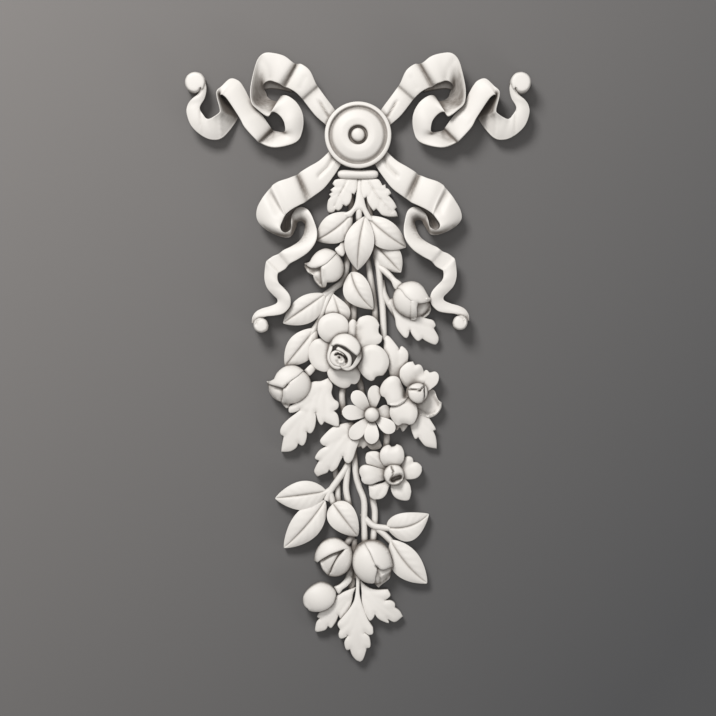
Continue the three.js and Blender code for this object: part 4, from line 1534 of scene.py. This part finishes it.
ROSE_PETALS = [
    Wrap(
        1.6,
        [
            [
                (361, 350.5), (362, 354.5), (360.7, 359.5), (357.5, 364.5), (353, 368.8), (348, 370.7),
                (344, 369.9),
            ],
            [(341.6, 368.3), (341, 366)],
            [(345, 367), (349, 367), (352, 365.3), (354.5, 361.5), (356.5, 357.5), (357.8, 354)],
        ],
        [Crease([(359.7, 354), (358, 360), (354.5, 365), (349, 368.6), (344, 368.6)], 0.7, 1.0)],
    ),
    Wrap(0.0, [
        [
            (331.3, 341.5), (333, 345.5), (332.3, 350), (330.9, 353.5), (330.3, 358), (331.6, 362),
            (335, 365.3), (341, 366.4),
        ],
        [
            (341.4, 368.4), (338, 369.5), (333.5, 368.3), (329.5, 364.5), (327.3, 359), (327.4, 353.5),
            (328.8, 348.5), (329.8, 343.5),
        ],
    ]),
    Wrap(1.2, [
        [
            (336, 349.4), (338, 346.8), (341, 347.9), (345, 350.4), (349.5, 353.6), (351.6, 357.5),
            (351.7, 362.5), (350.2, 366.6), (346, 368.2),
        ],
        [
            (341.7, 366.4), (346, 364.6), (347.7, 362), (347.6, 358.5), (345.3, 355), (341.8, 352.2),
            (338, 350.6),
        ],
    ]),
    Wrap(
        0.6,
        [[
            (335, 350.3), (338.5, 350.8), (342, 352.9), (345.3, 356), (347, 359.5), (347.3, 362.5),
            (345.5, 365.4), (341.5, 366.7), (337, 366.3), (332.5, 364), (330.2, 360), (330.2, 355.5),
            (332, 352),
        ]],
        [
            Crease(
                [
                    (335.8, 354.6), (338, 353.8), (341, 354.8), (344.2, 356.8), (346.3, 359.4),
                    (346.3, 362),
                ],
                9.0, 0.9,
            ),
            Crease(
                [
                    (337, 359), (337.4, 356), (340, 355.8), (343, 357.8), (344.2, 360.2), (343.2, 362.3),
                    (340, 362.8),
                ],
                -2.0, 1.1,
            ),
            Crease([(339, 357.1), (339.8, 357.7)], 5.0, 0.8),
            Crease([(336.5, 357.5), (336.3, 361), (338, 363.6)], 1.2, 1.0),
        ],
    ),
]

ROSE_HOOD = [
    [
        (330.6, 344.8), (332.2, 339.8), (336, 335.6), (341.5, 333.7), (348, 333.9), (354, 337),
        (358.4, 341.8), (360.6, 347.5),
    ],
    [(359.8, 352), (357, 355.6)],
    [(352.8, 353), (349, 349.8), (345, 347), (340.5, 345.3), (336.5, 344.5), (333, 346)],
]

DAISY_BUTTON = Dome((371.8, 414.7), along=7.3, height=24, shoulder=18)

CENTRES = [
    Relief(
        [
            [(407.8, 391), (409, 387.2), (412.5, 384.4), (417.5, 382.9), (422, 383.7)], [(424.2, 386)],
            [(423.2, 390), (424, 395), (422.4, 401.8)], [(418, 403.3), (413, 401.6), (409.3, 397.5)],
        ],
        Round((416, 393), 11.5, 12, 22, 8), pillow=0.4, reach=2.0, rounding=1.0,
        creases=[
            Crease([(408, 389.4), (414, 389.3), (419.8, 390.6)], 3.4, 0.9),
            Crease([(419.8, 390.6), (424.5, 386)], 3.4, 0.9),
        ],
    ),
    Relief(
        [
            [(424.6, 384.6), (427, 388.5), (427.4, 394), (425.6, 398.6), (422.6, 401.4)],
            [(424.9, 396), (424.7, 390)],
        ],
        Round((416, 393), 13, 13, 19, 8), pillow=0.3, reach=1.0, spacing=1.0,
    ),
    Relief(
        [[
            (383.6, 475), (385, 469.5), (389, 465.5), (394, 464.5), (399.5, 465.8), (403, 470),
            (403.8, 475.5), (401.5, 481), (397, 484.3), (391, 484.5), (386, 481),
        ]],
        Round((394, 475), 12, 12, 20, 6), pillow=1.2, reach=2.0, rounding=1.2,
        creases=[
            Crease([(393.2, 480), (396, 478.2), (399.6, 477.2)], 14.0, 2.5),
            Crease([(391.5, 466.3), (393.2, 471), (392.6, 475.5), (390.6, 480)], 3.0, 0.9),
        ],
    ),
]

INNER_SIDES = [
    Relief(
        [
            [(260, 86), (262.5, 80), (270, 77), (279, 78), (288, 82)],
            [(292, 91), (284, 89), (276, 87.4), (268, 87)], [(262.5, 89.5)],
        ],
        Spine((262, 86), (288, 88), (4, 5.5, 10)), pillow=0.4, reach=2.0,
    ),
    Relief(
        [
            [(280, 228), (280.6, 221), (285, 214.5), (292, 208.5), (299, 206)], [(303, 209)],
            [(296, 213), (291, 218), (290, 223), (291, 229)], [(289, 233), (283, 233)],
        ],
        Spine((285, 231), (298, 208), (9, 5, 7)), pillow=0.5, reach=2.0,
        creases=[Crease([(286, 228), (287, 219), (293, 212)], 2.5, 1.6)],
    ),
]

DISC_ENDS = [
    Relief(
        [[(205.8, 83), (204, 89), (201, 91.5)], [
            (201, 88.5), (198.5, 92), (194, 93), (189, 91), (185.9, 86.5), (185.4, 80.5), (188, 75.3),
            (194, 72.4), (200.5, 73.6), (204.6, 78),
        ]],
        Round((195.5, 82.7), 12, 12, 23, 1.5), pillow=1.6, reach=2.5, rounding=1.3,
    ),
    Relief(
        [[
            (268.3, 325.5), (267, 330), (262, 332.5), (257, 331.5), (254, 327.5), (254, 322),
            (257.5, 318.7), (262, 318), (266.5, 320.5),
        ]],
        Round((261, 325.5), 9, 9, 22, 2), pillow=1.2, reach=2.5, rounding=1.3,
        creases=[Crease([(262, 318), (257.5, 321), (256.3, 325)], 1.5, 0.8)],
    ),
]


class Union:
    """Joins closed shells into one watertight mesh, two at a time."""

    def __init__(self) -> None:
        """Make the two working objects and the join between them."""
        self.left = self._worker("union_left")
        self.right = self._worker("union_right")
        self.join = self.left.modifiers.new("join", "BOOLEAN")
        self.join.operation = "UNION"
        self.join.solver = "MANIFOLD"
        self.join.object = self.right

    @staticmethod
    def _worker(name: str) -> bpy.types.Object:
        """A working object in the scene, with an empty mesh.

        Args:
            name: The object's name.

        Returns:
            The new object.
        """
        worker = bpy.data.objects.new(name, bpy.data.meshes.new(name))
        bpy.context.scene.collection.objects.link(worker)
        return worker

    def pair(self, one: bpy.types.Mesh, other: bpy.types.Mesh) -> bpy.types.Mesh:
        """Join two closed meshes.

        Args:
            one: The first mesh.
            other: The second mesh.

        Returns:
            A new mesh of both; the two given ones are deleted.
        """
        self.left.data = one
        self.right.data = other
        depsgraph = bpy.context.evaluated_depsgraph_get()
        joined = bpy.data.meshes.new_from_object(self.left.evaluated_get(depsgraph))
        empty = bpy.data.meshes.new("empty")
        self.left.data = empty
        self.right.data = empty
        bpy.data.meshes.remove(one)
        bpy.data.meshes.remove(other)
        return joined

    def all(self, meshes: list[bpy.types.Mesh]) -> bpy.types.Mesh:
        """Join closed meshes, neighbours first, until one is left.

        Args:
            meshes: The meshes; all are deleted.

        Returns:
            The one mesh of them all.
        """
        while len(meshes) > 1:
            pairs = [self.pair(meshes[i], meshes[i + 1]) for i in range(0, len(meshes) - 1, 2)]
            meshes = pairs + (meshes[-1:] if len(meshes) % 2 else [])
        bpy.data.objects.remove(self.left)
        bpy.data.objects.remove(self.right)
        return meshes[0]


@dataclass(frozen=True)
class Recesses:
    """Finds how closed in each place of the carved front is by the carving round it: an ambient occlusion
    that sets how much shade is painted into the colour there.

    A place with the open sky counts 0, one with the closed sky 1. The reaches are the distances,
    in millimetres, at which the carving round a place is looked at.
    """

    cell: float = 1.0
    reaches: tuple[float, ...] = (1.5, 3.0, 5.0, 8.0, 12.0)
    directions: int = 16
    open_sky: float = 0.7
    closed_sky: float = 0.24
    steepening: float = 1.1
    least_facing: float = 0.45
    name: str = "recess"

    def height_map(self, x: Array, z: Array, height: Array, low: Array, shape: tuple[int, int]) -> Array:
        """The greatest height in each cell of an even grid and its eight neighbours.

        Args:
            x: Places to the right.
            z: Places up.
            height: Their heights above the wall.
            low: The grid's lower left corner.
            shape: The grid's rows and columns.

        Returns:
            The grid of heights.
        """
        column = ((x - low[0]) / self.cell).astype(int)
        row = ((z - low[1]) / self.cell).astype(int)
        found = np.zeros(shape)
        np.maximum.at(found, (row, column), height)
        wide = found.copy()
        for row_step in (-1, 0, 1):
            for column_step in (-1, 0, 1):
                wide = np.maximum(wide, np.roll(found, (row_step, column_step), axis=(0, 1)))
        return wide

    def shares(self, corners: Array, normals: Array) -> Array:
        """How closed in each corner is, from 0 in the open to 1 in a narrow hollow.

        In each direction the sky is hidden up to the steepest line from the corner to the
        carving, measured from the corner's own tangent plane. The open sky is the mean of the
        squared cosine of that angle over all directions.

        Args:
            corners: The corners, one row of x, y and z each, in millimetres.
            normals: The surface's unit normals at the corners.

        Returns:
            One share for each corner.
        """
        x, height, z = corners[:, 0], -corners[:, 1], corners[:, 2]
        facing = np.maximum(-normals[:, 1], self.least_facing)
        slope_x, slope_z = -normals[:, 0] / facing, -normals[:, 2] / facing
        margin = max(self.reaches) + 2 * self.cell
        low = np.array([x.min() - margin, z.min() - margin])
        high = np.array([x.max() + margin, z.max() + margin])
        columns, rows = ((high - low) / self.cell).astype(int) + 2
        heights = self.height_map(x, z, height, low, (rows, columns))
        sky = np.zeros(len(x))
        for angle in np.linspace(0, 2 * np.pi, self.directions, endpoint=False):
            step_x, step_z = np.cos(angle), np.sin(angle)
            steepest = np.zeros(len(x))
            for reach in self.reaches:
                column = ((x + step_x * reach - low[0]) / self.cell).astype(int)
                row = ((z + step_z * reach - low[1]) / self.cell).astype(int)
                tangent = height + (slope_x * step_x + slope_z * step_z) * reach
                steepest = np.maximum(steepest, (heights[row, column] - tangent) / reach)
            sky += 1 / (1 + steepest**2)
        sky /= self.directions
        return np.clip((self.open_sky - sky) / (self.open_sky - self.closed_sky), 0, 1) ** self.steepening

    def mark(self, mesh: bpy.types.Mesh) -> None:
        """Write the shares to the mesh, one value for each corner.

        Args:
            mesh: The casting's mesh, in metres.
        """
        count = len(mesh.vertices)
        corners, normals = np.empty(count * 3), np.empty(count * 3)
        mesh.vertices.foreach_get("co", corners)
        mesh.vertex_normals.foreach_get("vector", normals)
        shares = self.shares(corners.reshape(-1, 3) / MM, normals.reshape(-1, 3))
        mesh.attributes.new(self.name, "FLOAT", "POINT").data.foreach_set("value", shares.astype(np.float32))


@dataclass(frozen=True)
class PrimerWithPaintedShade:
    """The off-white primer on the casting: matte, with the faint grain of a sprayed coat, and with shade
    painted into its colour.

    Painted shade darkens the sharp inner corners and, deeper still, the narrow hollows, where the carving
    round them hides the light.
    """

    colour: Colour = (0.62, 0.59, 0.553)
    painted_crease_shade_colour: Colour = (0.3, 0.265, 0.23)
    painted_recess_shade_colour: Colour = (0.14, 0.118, 0.1)
    painted_crease_shade_share: float = 0.6
    painted_recess_shade_share: float = 0.95
    flat_pointiness: float = 0.5
    hollow_pointiness: float = 0.4
    least_roughness: float = 0.51
    most_roughness: float = 0.62
    grain_scale: float = 900.0
    grain_detail: float = 3.0
    grain_strength: float = 0.12
    grain_height: float = 0.0003
    tone_scale: float = 22.0
    tone_detail: float = 2.0
    recesses: Recesses = Recesses()

    def grain_group(self) -> bpy.types.ShaderNodeTree:
        """The coat's grain: a fine height and a broad tone, and from the surface a mask of the sharp inner
        corners, where shade is painted into the colour.
        """
        group = bpy.data.node_groups.new("primer_grain_and_crease_shade", "ShaderNodeTree")
        group.interface.new_socket("Scale", in_out="INPUT", socket_type="NodeSocketFloat")
        for name in ("Height", "Tone", "CreaseShade"):
            group.interface.new_socket(name, in_out="OUTPUT", socket_type="NodeSocketFloat")
        nodes, links = group.nodes, group.links
        given = nodes.new("NodeGroupInput")
        out = nodes.new("NodeGroupOutput")
        place = nodes.new("ShaderNodeTexCoord")
        fine = nodes.new("ShaderNodeTexNoise")
        fine.inputs["Detail"].default_value = self.grain_detail
        broad = nodes.new("ShaderNodeTexNoise")
        broad.inputs["Scale"].default_value = self.tone_scale
        broad.inputs["Detail"].default_value = self.tone_detail
        shape = nodes.new("ShaderNodeNewGeometry")
        # sharp inner corners found by pointiness: there shade is painted into the colour
        hollow = nodes.new("ShaderNodeMapRange")
        hollow.inputs["From Min"].default_value = self.flat_pointiness
        hollow.inputs["From Max"].default_value = self.hollow_pointiness
        links.new(given.outputs["Scale"], fine.inputs["Scale"])
        links.new(place.outputs["Object"], fine.inputs["Vector"])
        links.new(place.outputs["Object"], broad.inputs["Vector"])
        links.new(shape.outputs["Pointiness"], hollow.inputs["Value"])
        links.new(fine.outputs["Fac"], out.inputs["Height"])
        links.new(broad.outputs["Fac"], out.inputs["Tone"])
        links.new(hollow.outputs["Result"], out.inputs["CreaseShade"])
        return group

    def material(self) -> bpy.types.Material:
        """The primer with its painted shade as a node material."""
        material = bpy.data.materials.new("primed_polyurethane_with_painted_shade")
        material.use_nodes = True
        nodes, links = material.node_tree.nodes, material.node_tree.links
        shader = nodes["Principled BSDF"]
        grain = nodes.new("ShaderNodeGroup")
        grain.node_tree = self.grain_group()
        grain.inputs["Scale"].default_value = self.grain_scale
        # painted shade: the primer darkened along sharp inner corners
        shade = nodes.new("ShaderNodeMix")
        shade.data_type = "RGBA"
        shade.inputs["A"].default_value = (*self.colour, 1.0)
        shade.inputs["B"].default_value = (*self.painted_crease_shade_colour, 1.0)
        mask = nodes.new("ShaderNodeMath")
        mask.operation = "MULTIPLY"
        mask.inputs[1].default_value = self.painted_crease_shade_share
        # painted shade: the colour darkens in narrow hollows by the occlusion share
        recess = nodes.new("ShaderNodeAttribute")
        recess.attribute_name = self.recesses.name
        depth = nodes.new("ShaderNodeMath")
        depth.operation = "MULTIPLY"
        depth.inputs[1].default_value = self.painted_recess_shade_share
        painted_recess_shade_mix = nodes.new("ShaderNodeMix")
        painted_recess_shade_mix.data_type = "RGBA"
        painted_recess_shade_mix.inputs["B"].default_value = (*self.painted_recess_shade_colour, 1.0)
        rough = nodes.new("ShaderNodeMapRange")
        rough.inputs["To Min"].default_value = self.least_roughness
        rough.inputs["To Max"].default_value = self.most_roughness
        bump = nodes.new("ShaderNodeBump")
        bump.inputs["Strength"].default_value = self.grain_strength
        bump.inputs["Distance"].default_value = self.grain_height
        links.new(grain.outputs["CreaseShade"], mask.inputs[0])
        links.new(mask.outputs[0], shade.inputs["Factor"])
        links.new(recess.outputs["Fac"], depth.inputs[0])
        links.new(depth.outputs[0], painted_recess_shade_mix.inputs["Factor"])
        links.new(shade.outputs["Result"], painted_recess_shade_mix.inputs["A"])
        links.new(painted_recess_shade_mix.outputs["Result"], shader.inputs["Base Color"])
        links.new(grain.outputs["Tone"], rough.inputs["Value"])
        links.new(rough.outputs["Result"], shader.inputs["Roughness"])
        links.new(grain.outputs["Height"], bump.inputs["Height"])
        links.new(bump.outputs["Normal"], shader.inputs["Normal"])
        return material


@dataclass
class Moulding:
    """The whole casting."""

    node: str = "moulding_casting"
    sharp_angle: float = 38.0
    primer_and_painted_shade: PrimerWithPaintedShade = field(default_factory=PrimerWithPaintedShade)

    def bow(self, side: Side) -> list[Shell]:
        """The ribbons and scrolled ends of one half of the bow.

        Args:
            side: Which half.

        Returns:
            The half's shells.
        """
        shells = [
            Ribbon(UPPER_RIBBON, pleats=UPPER_PLEATS).shell(),
            Ribbon(LOWER_RIBBON, pleats=LOWER_PLEATS).shell(),
        ]
        shells += [end.shell() for end in [*INNER_SIDES, *DISC_ENDS]]
        return shells if side is Side.LEFT else [shell.hung_wider().mirrored() for shell in shells]

    def shells(self) -> list[Shell]:
        """Every closed form of the casting, neighbours next to each other."""
        made = [Rosette().shell(), Collar().shell()]
        for side in Side:
            made += self.bow(side)
        made += [Stem(places).shell() for places in STEMS]
        made += [blade.shell() for blade in LEAVES]
        made += [face.shell() for face in LEAF_FACES]
        made += [shell for bud in BUDS for shell in bud.shells()]
        made += [shell for flower in FLOWERS for shell in flower.shells()]
        made += [*Daisy().shells(), *Rose().shells()]
        made += [heart.shell() for heart in [DAISY_BUTTON, *CENTRES]]
        return made

    def build(self) -> bpy.types.Object:
        """Unite the forms into one piece, dress it and put it in the frame."""
        shells = self.shells()
        log.info("%d closed forms, %d triangles", len(shells), sum(len(s.triangles) for s in shells))
        mesh = Union().all([shell.mesh("form") for shell in shells])
        mesh.shade_smooth()
        mesh.set_sharp_from_angle(angle=np.radians(self.sharp_angle))
        # the occlusion shares that set the painted shade of the hollows
        self.primer_and_painted_shade.recesses.mark(mesh)
        mesh.materials.clear()
        mesh.materials.append(self.primer_and_painted_shade.material())
        piece = bpy.data.objects.new("moulding_casting_fine", mesh)
        mesh.name = piece.name
        bpy.context.scene.collection.objects.link(piece)
        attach(piece, "root")
        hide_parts(self.node)
        mesh.calc_loop_triangles()
        log.info("%s: %d triangles", piece.name, len(mesh.loop_triangles))
        return piece


@dataclass
class ViewCamera:
    """The camera straight in front of the casting. The frame's width is measured on the plane
    that runs through the middle of the carving's depth."""

    distance: float = 2.6
    sensor_width: float = 36.0
    frame_width: float = 0.716
    centre_z: float = -0.223
    plane_y: float = -0.018

    def build(self) -> bpy.types.Object:
        """Make the camera and look through it."""
        data = bpy.data.cameras.new("camera")
        data.sensor_width = self.sensor_width
        data.lens = self.distance * self.sensor_width / self.frame_width
        camera = bpy.data.objects.new("camera", data)
        camera.location = (0.0, self.plane_y - self.distance, self.centre_z)
        camera.rotation_euler = (np.pi / 2, 0.0, 0.0)
        bpy.context.scene.collection.objects.link(camera)
        bpy.context.scene.camera = camera
        return camera


@dataclass(frozen=True)
class Lamp:
    """A square soft light: its name, its place in metres, its size and its power."""

    name: str
    place: tuple[float, float, float]
    size: float
    power: float

    def hang(self, aim: tuple[float, float, float]) -> None:
        """Put the light in its place, turned to the aim.

        Args:
            aim: The point that it shines at.
        """
        data = bpy.data.lights.new(self.name, "AREA")
        data.size = self.size
        data.energy = self.power
        lamp = bpy.data.objects.new(self.name, data)
        lamp.location = self.place
        heading = Vector(aim) - Vector(self.place)
        lamp.rotation_euler = heading.to_track_quat("-Z", "Y").to_euler()
        bpy.context.scene.collection.objects.link(lamp)


@dataclass(frozen=True)
class WallPaintWithPaintedLight:
    """The wall's grey paint with painted light: the dark and light ends are painted shade and painted
    light along the slant, which runs from the lower right to the upper left. Seen from behind it is clear."""

    dark: Colour = (0.057, 0.057, 0.0585)
    light: Colour = (0.164, 0.154, 0.147)
    slant: tuple[float, float, float] = (-0.75, 0.0, 0.6)
    dark_end: float = -0.55
    light_end: float = 0.35
    roughness: float = 0.85

    def material(self) -> bpy.types.Material:
        """The grey paint with its painted light as a node material."""
        material = bpy.data.materials.new("wall_paint_with_painted_light")
        material.use_nodes = True
        nodes, links = material.node_tree.nodes, material.node_tree.links
        shader = nodes["Principled BSDF"]
        shader.inputs["Roughness"].default_value = self.roughness
        place = nodes.new("ShaderNodeTexCoord")
        slant = nodes.new("ShaderNodeVectorMath")
        slant.operation = "DOT_PRODUCT"
        slant.inputs[1].default_value = self.slant
        share = nodes.new("ShaderNodeMapRange")
        share.inputs["From Min"].default_value = self.dark_end
        share.inputs["From Max"].default_value = self.light_end
        tone = nodes.new("ShaderNodeMix")
        tone.data_type = "RGBA"
        tone.inputs["A"].default_value = (*self.dark, 1.0)
        tone.inputs["B"].default_value = (*self.light, 1.0)
        clear = nodes.new("ShaderNodeBsdfTransparent")
        side = nodes.new("ShaderNodeNewGeometry")
        mix = nodes.new("ShaderNodeMixShader")
        links.new(place.outputs["Object"], slant.inputs[0])
        links.new(slant.outputs["Value"], share.inputs["Value"])
        links.new(share.outputs["Result"], tone.inputs["Factor"])
        links.new(tone.outputs["Result"], shader.inputs["Base Color"])
        links.new(side.outputs["Backfacing"], mix.inputs["Fac"])
        links.new(shader.outputs["BSDF"], mix.inputs[1])
        links.new(clear.outputs["BSDF"], mix.inputs[2])
        links.new(mix.outputs["Shader"], nodes["Material Output"].inputs["Surface"])
        return material


@dataclass(frozen=True)
class Studio:
    """The wall behind the casting with light painted on it, three soft lights and an even light from all
    round.
    """

    wall_size: float = 6.0
    wall_gap: float = 0.0006
    # the wall's grey paint, with painted light and shade along a slant
    paint: WallPaintWithPaintedLight = WallPaintWithPaintedLight()
    lamps: tuple[Lamp, ...] = (
        Lamp("key_light", (-0.95, -2.2, 1.65), 1.0, 95.0),
        Lamp("front_light", (-0.1, -3.2, -0.3), 1.2, 24.0),
        Lamp("rim_light", (1.9, -0.75, -1.5), 1.0, 13.0),
    )
    aim: tuple[float, float, float] = (0.0, 0.0, -0.22)
    sky_colour: Colour = (1.0, 1.0, 1.0)
    sky_strength: float = 0.31

    def wall(self) -> bpy.types.Object:
        """Build the plain wall just behind the flat back."""
        half = self.wall_size / 2
        mesh = bpy.data.meshes.new("wall")
        corners = [(-half, self.wall_gap, -half), (half, self.wall_gap, -half),
                   (half, self.wall_gap, half), (-half, self.wall_gap, half)]
        mesh.from_pydata(corners, [], [(0, 1, 2, 3)])
        mesh.materials.append(self.paint.material())
        wall = bpy.data.objects.new("wall", mesh)
        bpy.context.scene.collection.objects.link(wall)
        return wall

    def sky(self) -> bpy.types.World:
        """Set the even light from all round."""
        world = bpy.data.worlds.new("studio")
        world.use_nodes = True
        background = world.node_tree.nodes["Background"]
        background.inputs["Color"].default_value = (*self.sky_colour, 1.0)
        background.inputs["Strength"].default_value = self.sky_strength
        bpy.context.scene.world = world
        return world

    def build(self) -> None:
        """Build the wall, hang the lights and set the even light."""
        self.wall()
        for lamp in self.lamps:
            lamp.hang(self.aim)
        self.sky()
        bpy.context.scene.view_settings.view_transform = "Standard"


def main() -> None:
    """Build the camera, the casting and the studio in order, and log the camera's place and the piece's name.
    """
    logging.basicConfig(level=logging.INFO, format="%(message)s")
    camera = ViewCamera().build()
    log.info("camera at %s", [round(value, 3) for value in camera.location])
    piece = Moulding().build()
    log.info("piece %s made", piece.name)
    Studio().build()


if __name__ == "__main__":
    main()
